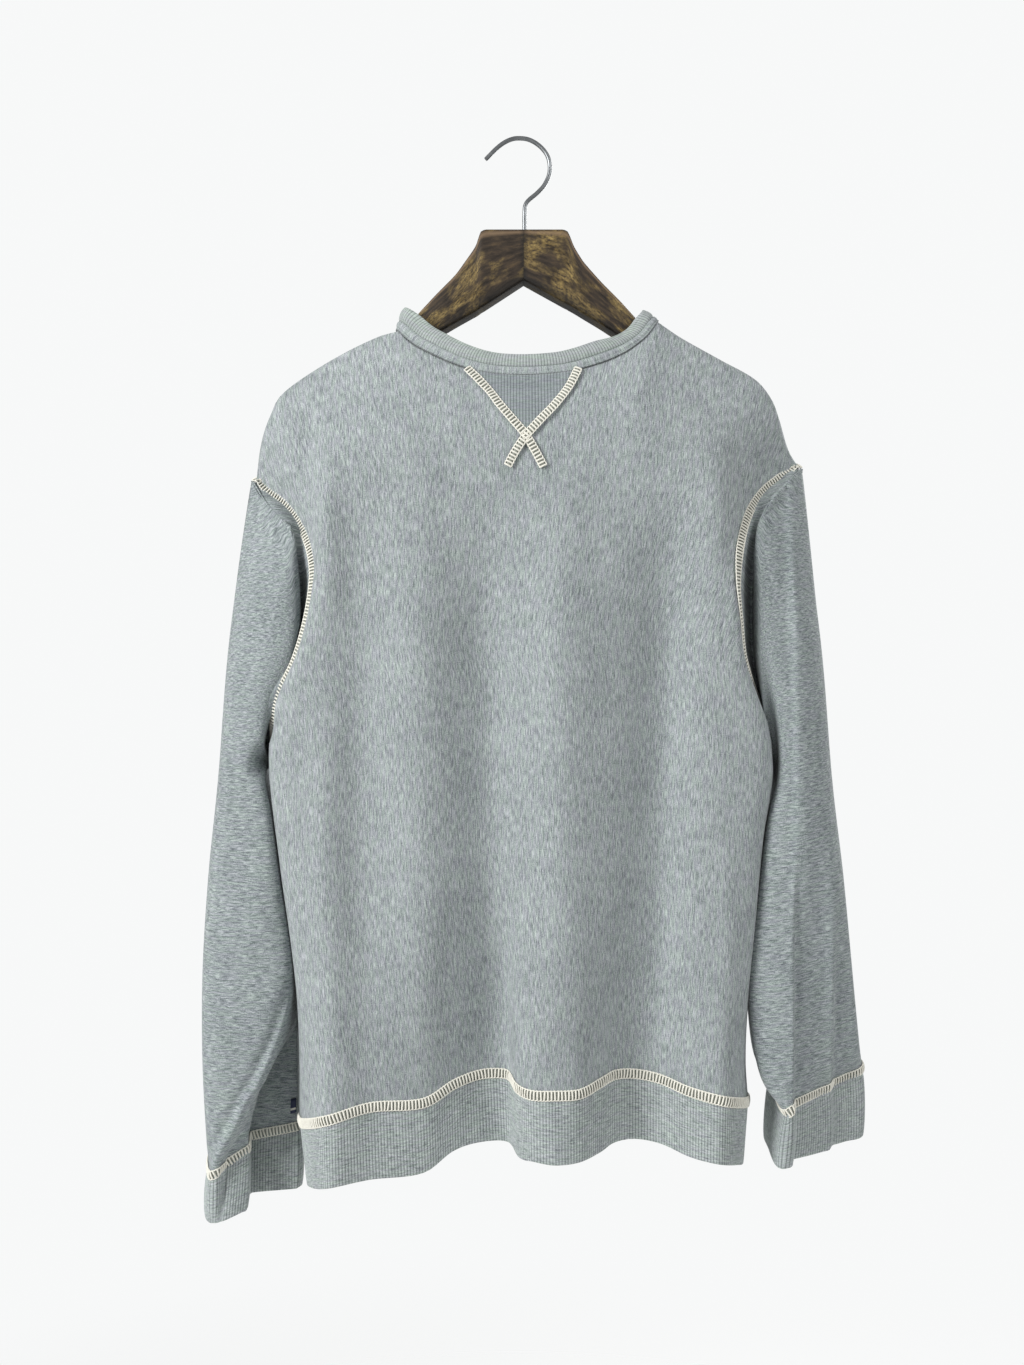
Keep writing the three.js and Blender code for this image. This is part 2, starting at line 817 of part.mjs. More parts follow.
function ribbedBand(seam, edge, { thickness, ribs, flip = false, crown = 0 }) {
  const shares = evenShares(seam.points, ribs * 2);
  const rows = [0, 0.5, 1];
  const outer = rows.map((down) => shares.map((share, k) => {
    const start = sampleLoop(seam.points, share);
    const finish = edge(share);
    const way = unit(minus(finish, start));
    const first = add(start, way, SEAM_GAP * 0.8);
    const normal = unit(sampleLoop(seam.normals, share));
    const raised = (k % 2) * RIB_HEIGHT + crown * 4 * down * (1 - down);
    return add(mixPoint(first, finish, down), normal, raised);
  }));
  const inner = rows.map((down) => shares.filter((share, k) => k % 2 === 0).map((share) => {
    const start = sampleLoop(seam.points, share);
    const finish = edge(share);
    const way = unit(minus(finish, start));
    const first = add(start, way, SEAM_GAP * 0.8);
    const normal = unit(sampleLoop(seam.normals, share));
    return add(mixPoint(first, finish, down), normal, crown * 4 * down * (1 - down) - thickness);
  }));
  const points = [...outer.flat(), ...inner.flat()];
  const faces = [];
  const face = (a, b, c) => faces.push(flip ? [a, b, c] : [a, c, b]);
  const outerAt = (j, k) => j * ribs * 2 + (k % (ribs * 2));
  const innerAt = (j, k) => outer.flat().length + j * ribs + (k % ribs);
  const last = rows.length - 1;
  for (let k = 0; k < ribs; k += 1) {
    for (let j = 0; j < last; j += 1) {
      for (const c of [2 * k, 2 * k + 1]) {
        face(outerAt(j, c), outerAt(j, c + 1), outerAt(j + 1, c + 1));
        face(outerAt(j, c), outerAt(j + 1, c + 1), outerAt(j + 1, c));
      }
      face(innerAt(j, k), innerAt(j + 1, k + 1), innerAt(j, k + 1));
      face(innerAt(j, k), innerAt(j + 1, k), innerAt(j + 1, k + 1));
    }
    const [a, b, c] = [outerAt(0, 2 * k), outerAt(0, 2 * k + 1), outerAt(0, 2 * k + 2)];
    face(b, a, innerAt(0, k));
    face(b, innerAt(0, k), innerAt(0, k + 1));
    face(b, innerAt(0, k + 1), c);
    const [d, e, f] = [outerAt(last, 2 * k), outerAt(last, 2 * k + 1), outerAt(last, 2 * k + 2)];
    face(e, innerAt(last, k), d);
    face(e, innerAt(last, k + 1), innerAt(last, k));
    face(e, f, innerAt(last, k + 1));
  }
  return solid(points, faces);
}

const ribCount = (points) => Math.round(loopLength(points) / RIB_PITCH);

function cuff(top, row, flip) {
  return ribbedBand(top, (share) => ringPoint(row, share), {
    thickness: RIB_CLOTH,
    ribs: ribCount(top.points),
    flip,
    crown: 1.5,
  });
}

// The hem's ring: the back panel's lower edge and then the front panel's

const hemTop = {
  points: [...backGrid[lastRow].slice(0, -1), ...frontGrid[lastRow].slice(0, -1)],
  normals: [...backNormals[lastRow].slice(0, -1), ...frontNormals[lastRow].slice(0, -1)],
};

function hemEdge(share) {
  const columns = [...backColumns.slice(0, -1), ...frontColumns];
  const place = share * hemTop.points.length;
  const onBack = place < lastColumn;
  const local = onBack ? place : place - lastColumn;
  const i = Math.min(Math.floor(local), lastColumn - 1);
  const list = onBack ? backColumns : columns.slice(lastColumn);
  const u = mix(list[i], list[i + 1], local - i);
  return onBack ? backHemEdgeLine(u) : frontHemEdgeLine(u);
}

const backHemEdgeLine = line(backHemEdge);
const frontHemEdgeLine = line(frontHemEdge);

// The neck's ring: the back panel's neck seam and then the front panel's

const neckFirst = SHOULDER_COLUMNS;
const neckLast = SHOULDER_COLUMNS + NECK_COLUMNS;
const neckSeam = {
  points: [
    ...backGrid[0].slice(neckFirst, neckLast),
    ...frontGrid[0].slice(neckFirst, neckLast),
  ],
};
const neckMiddle = [9, 0];

// The neckband stands square to its seam and leans towards the middle of the neck

neckSeam.rises = neckSeam.points.map((point, k) => {
  const { points } = neckSeam;
  const before = points[(k + points.length - 1) % points.length];
  const seamWay = unit(minus(points[(k + 1) % points.length], before));
  const up = unit(add([0, 0, 1], seamWay, -seamWay[2]));
  const folded = ease((point[0] - FOLDED_FROM) / FOLDED_OVER);
  const height = NECK_HEIGHT * mix(1, FOLDED_HEIGHT, folded);
  const lean = NECK_LEAN * mix(1, FOLDED_LEAN, folded);
  const away = unit([point[0] - neckMiddle[0], (point[1] - neckMiddle[1]) * 3, 0]);
  return add(up.map((value) => value * height), away, -lean);
});

neckSeam.normals = neckSeam.points.map((point) => {
  const away = [point[0] - neckMiddle[0], (point[1] - neckMiddle[1]) * 3, 0];
  return unit([away[0], away[1], 8]);
});

// Both strips of the neckband keep clear of the seams by a part of the gap

function neckRing(share, clear, height) {
  return neckSeam.points.map((point, k) => {
    const rise = neckSeam.rises[k];
    const risen = add(add(point, rise, share), unit(rise), clear * SEAM_GAP);
    return add(risen, neckSeam.normals[k], height);
  });
}

function neckBinding() {
  const rows = (crown, height) => [
    neckRing(BINDING_SHARE, -1.7, height),
    neckRing(BINDING_SHARE / 2, 0, height + crown),
    neckRing(0, 2.4, height),
  ];
  return wall(rows(BINDING_CROWN, 0), rows(0, -CLOTH), { loop: true });
}

function neckRib() {
  const seam = { points: neckRing(BINDING_SHARE, 0.8, 0), normals: neckSeam.normals };
  const top = neckRing(1, 0, 0);
  const edge = (share) => sampleLoop(top, share);
  return ribbedBand(seam, edge, { thickness: RIB_CLOTH, ribs: ribCount(top), flip: true });
}

// What lies on a panel is made from the panel's own facets, moved out

const LAY_GAP = 0.5;

function placeIn(list, value) {
  let i = 0;
  while (i < list.length - 2 && list[i + 1] <= value) {
    i += 1;
  }
  return i + (value - list[i]) / (list[i + 1] - list[i]);
}

function liftedFrom(grid, normals, column, row, height) {
  const i = Math.min(Math.floor(column), grid[0].length - 2);
  const j = Math.min(Math.floor(row), grid.length - 2);
  const [s, t] = [column - i, row - j];
  const read = (field) => {
    const [a, b, c, d] = [field[j][i], field[j][i + 1], field[j + 1][i + 1], field[j + 1][i]];
    if (s >= t) {
      return add(add(a, minus(b, a), s), minus(c, b), t);
    }
    return add(add(a, minus(d, a), t), minus(c, d), s);
  };
  return add(read(grid), unit(read(normals)), height);
}

// The triangle under the neck lies on the back panel

const V_START = 0.423;
const V_END = 0.573;
const V_POINT = 0.4975;
const V_DEPTH = 0.125;
const V_THICK = 1;
const V_COLUMNS = 10;
const V_ROWS = [0.2, 1, 2, 3, 4, 4.6];   // rows of the panel's grid that the triangle spans

function neckTriangle() {
  const layer = (height) => V_ROWS.map((line) => {
    const v = mix(panelRows[Math.floor(line)], panelRows[Math.floor(line) + 1], line % 1);
    const down = v / V_DEPTH;
    const row = [];
    for (let i = 0; i <= V_COLUMNS; i += 1) {
      const u = mix(mix(V_START, V_END, i / V_COLUMNS), V_POINT, down);
      row.push(liftedFrom(backGrid, backNormals, placeIn(backColumns, u), line, height));
    }
    return row;
  });
  return wall(layer(LAY_GAP + V_THICK), layer(LAY_GAP));
}

// The tab lies on the inner far side of the left sleeve, just above the cuff

const TAB_THICK = 1;
const TAB_FIRST = 11.55;         // the column of the sleeve's grid where the tab starts
const TAB_COLUMNS = 0.45;
const TAB_ROWS = 0.45;
const TAB_ABOVE = 1.45;          // rows between the tab's foot and the end of the grid

function sleeveTab() {
  const { grid, normals } = sleeveLeft;
  const lowest = grid.length - TAB_ABOVE;
  const layer = (height) => [1, 0].map((up) => [0, 1].map((across) => liftedFrom(
    grid,
    normals,
    TAB_FIRST + TAB_COLUMNS * across,
    lowest - TAB_ROWS * up,
    height,
  )));
  return wall(layer(LAY_GAP + TAB_THICK), layer(LAY_GAP));
}

// One half of the hanger: eight-cornered sections along the arm

const WOOD_BEVEL = 4;

function woodHalf(rows) {
  const sections = rows.map(({ x, top, low, half }) => [
    [x, -half, low + WOOD_BEVEL],
    [x, -half, top - WOOD_BEVEL],
    [x, -half + WOOD_BEVEL, top],
    [x, half - WOOD_BEVEL, top],
    [x, half, top - WOOD_BEVEL],
    [x, half, low + WOOD_BEVEL],
    [x, half - WOOD_BEVEL, low],
    [x, -half + WOOD_BEVEL, low],
  ]);
  const sides = sections[0].length;
  const faces = [];
  const towardsRight = rows[1].x > rows[0].x;
  const face = (a, b, c) => faces.push(towardsRight ? [a, c, b] : [a, b, c]);
  const last = sections.length - 1;
  for (let j = 0; j < last; j += 1) {
    for (let k = 0; k < sides; k += 1) {
      const [a, b] = [j * sides + k, j * sides + ((k + 1) % sides)];
      face(a, b, b + sides);
      face(a, b + sides, a + sides);
    }
  }
  for (let k = 1; k < sides - 1; k += 1) {
    face(0, k + 1, k);
    face(last * sides, last * sides + k, last * sides + k + 1);
  }
  return solid(sections.flat(), faces);
}

// Joins and cuts need a merged mesh with positions only

function toManifold(geometry) {
  const plain = geometry.clone();
  Object.keys(plain.attributes).filter((name) => name !== 'position')
    .forEach((name) => plain.deleteAttribute(name));
  const merged = mergeVertices(plain);
  const mesh = new manifoldLibrary.Mesh({
    numProp: 3,
    vertProperties: new Float32Array(merged.attributes.position.array),
    triVerts: new Uint32Array(merged.index.array),
  });
  return new manifoldLibrary.Manifold(mesh);
}

function fromManifold(body) {
  const mesh = body.getMesh();
  const geometry = new THREE.BufferGeometry();
  geometry.setAttribute('position', new THREE.BufferAttribute(mesh.vertProperties, 3));
  geometry.setIndex(new THREE.BufferAttribute(mesh.triVerts, 1));
  geometry.computeVertexNormals();
  return geometry;
}

// The hook's hole is bored down into the middle of the wood

function hookHole() {
  const radius = WIRE / 2 + HOOK_PLAY;
  const bore = new THREE.CylinderGeometry(radius, radius, 2 * HOOK_HOLE_DEPTH, 12);
  bore.rotateX(Math.PI / 2);
  bore.translate(HOOK_X, 0, armLeft[0].top);
  return toManifold(bore);
}

function hangerHalf(rows) {
  return fromManifold(toManifold(woodHalf(rows)).subtract(hookHole()));
}

function hook() {
  const path = new THREE.CatmullRomCurve3(hookPath.map(([x, z]) => new THREE.Vector3(x, 0, z)));
  const section = new THREE.Shape();
  section.absarc(0, 0, WIRE / 2, 0, Math.PI * 2);
  return new THREE.ExtrudeGeometry(section, {
    steps: 30,
    curveSegments: 5,
    bevelEnabled: false,
    extrudePath: path,
  });
}

// The finished object

const COLOURS = {
  fleece: 0x97a1a3,
  rib: 0x919b9c,
  tab: 0x2b3350,
  wood: 0x43352a,
  steel: 0x7d7f80,
};

const garment = new THREE.Group();

function piece(name, geometry, colour, roughness, metalness = 0) {
  const material = new THREE.MeshStandardMaterial({ color: colour, roughness, metalness });
  const mesh = new THREE.Mesh(geometry, material);
  mesh.name = name;
  garment.add(mesh);
}

piece('back_panel', panelWall(backGrid, backNormals), COLOURS.fleece, 0.95);
piece('front_panel', panelWall(frontGrid, frontNormals), COLOURS.fleece, 0.95);
piece('v_insert', neckTriangle(), COLOURS.rib, 0.95);
piece('neck_binding', neckBinding(), COLOURS.fleece, 0.95);
piece('neck_rib', neckRib(), COLOURS.rib, 0.95);
piece('sleeve_left', sleeveLeft.geometry, COLOURS.fleece, 0.95);
piece('sleeve_right', sleeveRight.geometry, COLOURS.fleece, 0.95);
piece('cuff_left', cuff(sleeveLeft.cuffTop, cuffLeftEdge[0], false), COLOURS.rib, 0.95);
piece('cuff_right', cuff(sleeveRight.cuffTop, cuffRightEdge[0], true), COLOURS.rib, 0.95);
piece('hem_rib', ribbedBand(hemTop, hemEdge, {
  thickness: RIB_CLOTH,
  ribs: ribCount(hemTop.points),
}), COLOURS.rib, 0.95);
piece('sleeve_tab', sleeveTab(), COLOURS.tab, 0.8);
piece('hanger_left', hangerHalf(armLeft), COLOURS.wood, 0.6);
piece('hanger_right', hangerHalf(armRight), COLOURS.wood, 0.6);
piece('hanger_hook', hook(), COLOURS.steel, 0.4, 1);

export default garment;
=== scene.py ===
# %% [markdown]
# This notebook dresses a plain model of a crewneck sweatshirt that hangs on a wooden hanger,
# seen from the back. The plain model is a fixed frame: every piece below is made at the place
# and size that it has there. Cloth is thin, soft and never quite flat, so most of the work is in
# three things: one smooth surface for each cut piece, the stitched bands along the seams, and
# knit that is mottled in the right direction.

import math

import bpy
import numpy as np
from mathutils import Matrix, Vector
from mathutils.bvhtree import BVHTree


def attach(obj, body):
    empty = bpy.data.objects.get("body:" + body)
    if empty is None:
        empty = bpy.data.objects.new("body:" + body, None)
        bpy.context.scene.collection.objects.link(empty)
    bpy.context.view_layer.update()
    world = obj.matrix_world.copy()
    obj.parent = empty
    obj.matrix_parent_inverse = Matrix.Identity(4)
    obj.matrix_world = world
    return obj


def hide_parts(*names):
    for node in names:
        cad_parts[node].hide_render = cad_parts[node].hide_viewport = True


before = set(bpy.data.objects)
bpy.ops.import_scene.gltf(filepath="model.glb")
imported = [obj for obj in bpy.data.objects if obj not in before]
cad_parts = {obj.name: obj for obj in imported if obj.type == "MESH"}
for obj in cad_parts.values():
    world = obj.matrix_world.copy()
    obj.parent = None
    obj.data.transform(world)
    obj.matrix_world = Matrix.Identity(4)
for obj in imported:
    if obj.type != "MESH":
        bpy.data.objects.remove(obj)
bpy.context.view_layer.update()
MM = 0.001                        # the tables are in millimetres, and Blender works in metres
print("nodes to dress:", len(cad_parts))

# %% [markdown]
# The photo was taken level with the middle of the garment, about a metre away. A camera that
# looks straight along +Y needs only its distance and the size of one pixel at the hanger's
# depth. Both are real lengths, so the lens follows from them.

# %% Camera
PHOTO_HEIGHT = 1365               # pixels
MM_PER_PIXEL = 0.8463             # on the plane of the hanger
CAMERA_DISTANCE = 1050
CAMERA_X = -3.8
CAMERA_Z = -458.7
SENSOR = 36

camera_data = bpy.data.cameras.new("camera")
camera_data.sensor_width = SENSOR
camera_data.lens = SENSOR * CAMERA_DISTANCE / (PHOTO_HEIGHT * MM_PER_PIXEL)
camera = bpy.data.objects.new("camera", camera_data)
camera.location = (CAMERA_X * MM, -CAMERA_DISTANCE * MM, CAMERA_Z * MM)
camera.rotation_euler = (math.pi / 2, 0, 0)
bpy.context.collection.objects.link(camera)
bpy.context.scene.camera = camera
print("lens", round(camera_data.lens, 1), "mm")

# %% [markdown]
# A pattern cutter draws a few points and lets a curve run through them. The same is done here:
# `smooth` reads a cubic through every row of a table, at many places at once, and `line` does
# so by the share of the whole length. A ring is the same curve closed on itself.


# %% Smooth curves through short tables
def smooth(places, values, at):
    places = np.asarray(places, float)
    values = np.asarray(values, float)
    slopes = np.empty_like(values)
    slopes[1:-1] = (values[2:] - values[:-2]) / (places[2:] - places[:-2])[:, None]
    slopes[0] = (values[1] - values[0]) / (places[1] - places[0])
    slopes[-1] = (values[-1] - values[-2]) / (places[-1] - places[-2])
    at = np.asarray(at, float)
    first = np.clip(np.searchsorted(places, at) - 1, 0, len(places) - 2)
    span = (places[first + 1] - places[first])[..., None]
    s = np.clip((at - places[first])[..., None] / span, 0, 1)
    return (values[first] * (2 * s**3 - 3 * s**2 + 1)
            + slopes[first] * (s**3 - 2 * s**2 + s) * span
            + values[first + 1] * (3 * s**2 - 2 * s**3)
            + slopes[first + 1] * (s**3 - s**2) * span)


def smooth_ring(values, at):
    values = np.asarray(values, float)
    count = len(values)
    padded = np.vstack([values[-2:], values, values[:2]])
    return smooth(np.arange(-2, count + 2) / count, padded, np.asarray(at) % 1)


def shares_along(points):
    steps = np.linalg.norm(np.diff(points, axis=0), axis=1)
    places = np.concatenate([[0], np.cumsum(steps)])
    return places / places[-1]


def line(rows):
    points = np.asarray(rows, float)
    places = shares_along(points)
    return lambda at: smooth(places, points, at)


def mix(a, b, k):
    return a + (b - a) * k


def ease(value):
    value = np.clip(value, 0, 1)
    return value**2 * (3 - 2 * value)


def unit(vectors):
    lengths = np.linalg.norm(vectors, axis=-1, keepdims=True)
    return vectors / np.maximum(lengths, 1e-9)


print("halfway along a bent line:", line([[0, 0, 0], [10, 0, 0], [10, 0, 10]])(np.array([0.5])))

# %% [markdown]
# These tables are the garment's cut as it hangs: the slope of each shoulder, the neck's seam,
# the armholes, the side seams and the waves of the hem. Each row is x, y, z. The left side is
# the picture's left. The near panel is the garment's back.

# %% The garment's edges
SHOULDER_LEFT = [
    [-220, 0, -287], [-217, 0, -262], [-213, 0, -245], [-207, 0, -230], [-200, 0, -217],
    [-183, 0, -203], [-149, 0, -182], [-116, 0, -166], [-101, 0, -162],
]
SHOULDER_RIGHT = [
    [119, 0, -154], [138, 0, -167], [172, 0, -186], [202, 0, -203], [216, 0, -220],
    [222, 0, -235], [230, 0, -262], [238, 0, -276],
]
BACK_NECK = [
    [-101, 0, -162], [-100, -8, -163], [-97, -15, -167], [-90, -19, -175], [-80, -23, -183],
    [-46, -34, -201], [-14, -38, -209], [35, -37, -208], [68, -32, -199], [88, -27, -189],
    [105, -21, -175], [114, -16, -163], [118, -8, -156], [119, 0, -154],
]
FRONT_NECK = [
    [119, 0, -154], [118, 8, -157], [114, 15, -167], [97, 21, -198], [72, 26, -228],
    [42, 30, -250], [9, 31, -256], [-25, 30, -250], [-55, 26, -232], [-79, 21, -206],
    [-96, 15, -175], [-100, 8, -165], [-101, 0, -162],
]
ARMHOLE_LEFT = [
    [-220, 0, -287], [-206, -14, -300], [-192, -27, -311], [-179, -38, -327],
    [-168, -47, -350], [-164, -50, -374], [-169, -49, -408], [-180, -44, -442],
    [-197, -37, -475], [-201, -27, -496], [-207, 0, -512],
]
ARMHOLE_RIGHT = [
    [238, 0, -276], [224, -14, -285], [206, -29, -299], [191, -42, -319], [181, -49, -348],
    [178, -50, -376], [181, -47, -408], [186, -39, -440], [199, -24, -473], [208, -12, -494],
    [213, 0, -512],
]
SIDE_LEFT = [
    [-207, 0, -512], [-206, 0, -545], [-198, 0, -609], [-188, -4, -676], [-183, -7, -730],
    [-182, -10, -824],
]
SIDE_RIGHT = [
    [213, 0, -512], [214, 0, -540], [206, 0, -590], [199, 0, -660], [194, -3, -727],
    [193, -4, -777], [195, -5, -809],
]
BACK_HEM_SEAM = [
    [-182, -10, -824], [-174, -36, -819], [-150, -66, -806], [-118, -56, -799],
    [-75, -45, -799], [-51, -32, -788], [-30, -24, -783], [-8, -25, -782], [1, -46, -786],
    [12, -60, -787], [30, -64, -787], [50, -60, -787], [68, -44, -783], [81, -30, -781],
    [98, -24, -782], [118, -31, -784], [140, -48, -789], [163, -57, -793], [186, -36, -802],
    [195, -5, -809],
]
BACK_HEM_EDGE = [
    [-176, -10, -874], [-170, -36, -870], [-149, -69, -858], [-118, -57, -856],
    [-75, -45, -855], [-51, -32, -842], [-30, -24, -838], [-8, -23, -838], [2, -45, -843],
    [13, -61, -840], [30, -66, -841], [50, -60, -841], [68, -44, -839], [81, -30, -836],
    [98, -22, -836], [118, -30, -837], [140, -49, -841], [162, -59, -843], [183, -36, -852],
    [191, -5, -863],
]
FRONT_HEM_SEAM = [
    [195, -5, -809], [184, 22, -803], [142, 44, -794], [95, 36, -788], [50, 46, -790],
    [0, 37, -792], [-50, 44, -795], [-90, 36, -800], [-132, 43, -808], [-170, 22, -818],
    [-182, -10, -824],
]
FRONT_HEM_EDGE = [
    [191, -5, -863], [181, 21, -858], [141, 43, -849], [95, 35, -844], [50, 46, -846],
    [0, 36, -848], [-50, 44, -851], [-90, 34, -856], [-130, 42, -863], [-166, 20, -870],
    [-176, -10, -874],
]
print("widest across the shoulders:", SHOULDER_RIGHT[-1][0] - SHOULDER_LEFT[0][0], "mm")

# %% [markdown]
# Hanging knit shows two kinds of fold. A few broad ones carry the garment's shape, and finer
# creases run beside them, softer on one side than on the other. Both are rows of a table:
# where the fold starts and ends, how wide it is to the left and to the right of its middle,
# and how far it rises. A negative rise comes towards the viewer.

# %% The folds
BACK_FOLDS = [
    [-174, -215, -167, -390, 10, 12, 10],
    [-158, -250, -152, -420, 10, 12, -4],
    [-156, -400, -150, -1060, 15, 17, -6],
    [-128, -250, -118, -1060, 15, 18, 5],
    [-83, -240, -69, -1060, 22, 25, -9],
    [-25, -270, -12, -1060, 25, 24, 13],
    [33, -240, 39, -1060, 26, 31, -13],
    [128, -250, 100, -1060, 30, 19, 22],
    [186, -240, 178, -390, 13, 13, 9],
]
FRONT_FOLDS = [
    [-150, -300, -140, -700, 24, 24, 7],
    [-92, -420, -90, -780, 26, 26, -9],
    [-30, -330, -48, -740, 22, 22, 5],
    [40, -380, 50, -770, 28, 28, 6],
    [96, -460, 95, -780, 24, 24, -9],
    [150, -260, 146, -680, 22, 22, 6],
]
BACK_CREASES = [
    [-165, -235, -160, -350, 4, 9, -1.6],
    [-5, -640, 3, -870, 4, 22, -3.5],
    [-20, -560, -30, -860, 16, 9, 1.5],
    [168, -560, 170, -830, 8, 10, -2.0],
    [190, -290, 182, -365, 6, 8, 2.0],
    [-30, -330, -26, -460, 40, 30, 1.2],
]
FRONT_CREASES = [
    [-120, -330, -116, -520, 12, 6, 2.0],
    [-12, -560, -2, -800, 20, 5, 3.0],
    [70, -520, 62, -760, 8, 16, -2.0],
    [128, -420, 134, -640, 6, 14, 2.2],
    [20, -300, 12, -420, 34, 30, 1.4],
    [-66, -600, -70, -790, 12, 10, -2.0],
]
# Small hollows: middle x and z, half width, half height, depth
UNDER_NECK_DENT = [4, -221, 30, 7, 3.5]
UNDERARM_DENT = [-208, -524, 7, 9, 22]
FADE = 4                          # a fold fades in and out over a quarter of its length


def fold_depth(folds, x, z):
    depth = np.zeros_like(x)
    for top_x, top_z, low_x, low_z, left, right, rise in folds:
        along = (z - top_z) / (low_z - top_z)
        away = x - mix(top_x, low_x, along)
        width = np.where(away < 0, left, right)
        strength = ease(along * FADE) * ease((1 - along) * FADE)
        depth += rise * strength * np.exp(-((away / width) ** 2))
    return depth


def dent_depth(dent, x, z):
    middle_x, middle_z, width, height, depth = dent
    return depth * np.exp(-(((x - middle_x) / width) ** 2) - ((z - middle_z) / height) ** 2)


print(len(BACK_FOLDS) + len(BACK_CREASES), "folds and creases on the near panel")

# %% [markdown]
# A panel is a patch stretched between its four edges, pushed out to the chest's depth and
# folded. The cloth rounds over the hanger along the shoulders' ridge and slopes out below it:
# `spread` is the share of its full depth that the cloth has reached at a point.

# %% The panels' surface
SHOULDER_ROUND = 8                # millimetres over which the cloth rounds over the ridge
SHOULDER_SHARE = 0.25             # share of its depth that it gains there
SHOULDER_SLOPE = 110              # millimetres over which it gains the rest
CHEST_NEAR = -57                  # y of the flat middle of each panel
CHEST_FAR = 44
EDGE_TIGHT = 8                    # down the sides the cloth turns round a narrow edge
EDGE_GENTLE = 0.13                # share of the width that slopes in beside the upper armhole
GENTLE_TO_LEFT = 0.36             # share of the height where the slope gives way to the edge
GENTLE_TO_RIGHT = 0.17
GENTLE_OVER = 0.1
TOP_FADE = 4                      # how soon the rows forget the shape of the top edge
HEM_START = 0.68                  # share of the height from which the hem's waves take over
NECK_START = 0.31
NECK_END = 0.7
UNDERARM = 0.44
FAR_DEPTH = -0.8                  # an armhole's far half is this share as deep as its near half
RIDGE = np.array(SHOULDER_LEFT + SHOULDER_RIGHT, float)


def spread(x, z, top_z):
    ridge = np.minimum(smooth(RIDGE[:, 0], RIDGE[:, 2:], x)[..., 0], top_z)
    below = np.maximum(0, ridge - z)
    rounded = np.sqrt(1 - (1 - np.clip(below / SHOULDER_ROUND, 0, 1)) ** 2)
    slope = np.sin((math.pi / 2) * np.clip(below / SHOULDER_SLOPE, 0, 1))
    return mix(slope, rounded, SHOULDER_SHARE)


def edge_fullness(u, v, gentle_to):
    tight = np.sqrt(1 - (1 - 2 * np.minimum(u, 0.5)) ** EDGE_TIGHT)
    gentle = np.sin((math.pi / 2) * np.clip(u / EDGE_GENTLE, 0, 1))
    return mix(gentle[None], tight[None], ease((v[:, None] - gentle_to) / GENTLE_OVER))


def panel(top_edges, starts, ends, sides, hem, chest, folds, creases, arm_sign,
          gentle_to):
    top_lines = [line(rows) for rows in top_edges]
    side_lines = [(line(armhole), line(seam)) for armhole, seam in sides]
    hem_line = line(hem)

    def top(u):
        first = top_lines[0](np.clip(u / starts, 0, 1))
        neck = top_lines[1](np.clip((u - starts) / (ends - starts), 0, 1))
        last = top_lines[2](np.clip((u - ends) / (1 - ends), 0, 1))
        return np.where((u < starts)[:, None], first, np.where((u <= ends)[:, None], neck, last))

    def side(which, v):
        armhole, seam = side_lines[which]
        upper = armhole(np.clip(v / UNDERARM, 0, 1)) * [1, arm_sign, 1]
        lower = seam(np.clip((v - UNDERARM) / (1 - UNDERARM), 0, 1))
        return np.where((v < UNDERARM)[:, None], upper, lower)

    def surface(u, v):
        t, b = top(u)[None], hem_line(u)[None]
        left, right = side(0, v)[:, None], side(1, v)[:, None]
        across, down = u[None, :, None], 1 - (1 - v[:, None, None]) ** TOP_FADE
        corners = mix(mix(t[:, :1], t[:, -1:], across), mix(b[:, :1], b[:, -1:], across), down)
        patch = mix(t, b, down) + mix(left, right, across) - corners
        x, z = patch[..., 0], patch[..., 2]
        edge = np.minimum(edge_fullness(u, v, gentle_to[0]), edge_fullness(1 - u, v, gentle_to[1]))
        sides_y = mix(left[..., 1], right[..., 1], u[None])
        flat = mix(sides_y, chest + fold_depth(folds, x, z), edge)
        body = mix(flat, b[..., 1], ease((v[:, None] - HEM_START) / (1 - HEM_START)))
        body = body + fold_depth(creases, x, z) * edge
        on_shoulder = (u < starts) | (u > ends)
        top_z = np.where(on_shoulder, t[..., 2], RIDGE[:, 2].max())
        return np.stack([x, body * spread(x, z, top_z), z], -1)

    return surface


back_surface = panel(
    [SHOULDER_LEFT, BACK_NECK, SHOULDER_RIGHT], NECK_START, NECK_END,
    [(ARMHOLE_LEFT, SIDE_LEFT), (ARMHOLE_RIGHT, SIDE_RIGHT)],
    BACK_HEM_SEAM, CHEST_NEAR, BACK_FOLDS, BACK_CREASES, 1, (GENTLE_TO_LEFT, GENTLE_TO_RIGHT))
front_surface = panel(
    [SHOULDER_RIGHT[::-1], FRONT_NECK, SHOULDER_LEFT[::-1]], 1 - NECK_END, 1 - NECK_START,
    [(ARMHOLE_RIGHT, SIDE_RIGHT), (ARMHOLE_LEFT, SIDE_LEFT)],
    FRONT_HEM_SEAM, CHEST_FAR, FRONT_FOLDS, FRONT_CREASES, FAR_DEPTH,
    (GENTLE_TO_RIGHT, GENTLE_TO_LEFT))

SHOULDER_COLUMNS = 34
NECK_COLUMNS = 84
ARMHOLE_ROWS = 80
SIDE_ROWS = 106
CROWDING = 1.25                   # columns lie closer together towards the armholes
CALM_ROWS = 5                     # the hollow under the neck grows over this many rows
from_armhole = (np.arange(SHOULDER_COLUMNS + 1) / SHOULDER_COLUMNS) ** CROWDING
under_neck = mix(NECK_START, NECK_END, np.arange(NECK_COLUMNS) / NECK_COLUMNS)
BACK_COLUMNS = np.concatenate([
    NECK_START * from_armhole[:-1],
    under_neck,
    1 - (1 - NECK_END) * from_armhole[::-1],
])
FRONT_COLUMNS = (1 - BACK_COLUMNS)[::-1]
ROWS = np.concatenate([
    UNDERARM * np.arange(ARMHOLE_ROWS) / ARMHOLE_ROWS,
    np.linspace(UNDERARM, 1, SIDE_ROWS + 1),
])
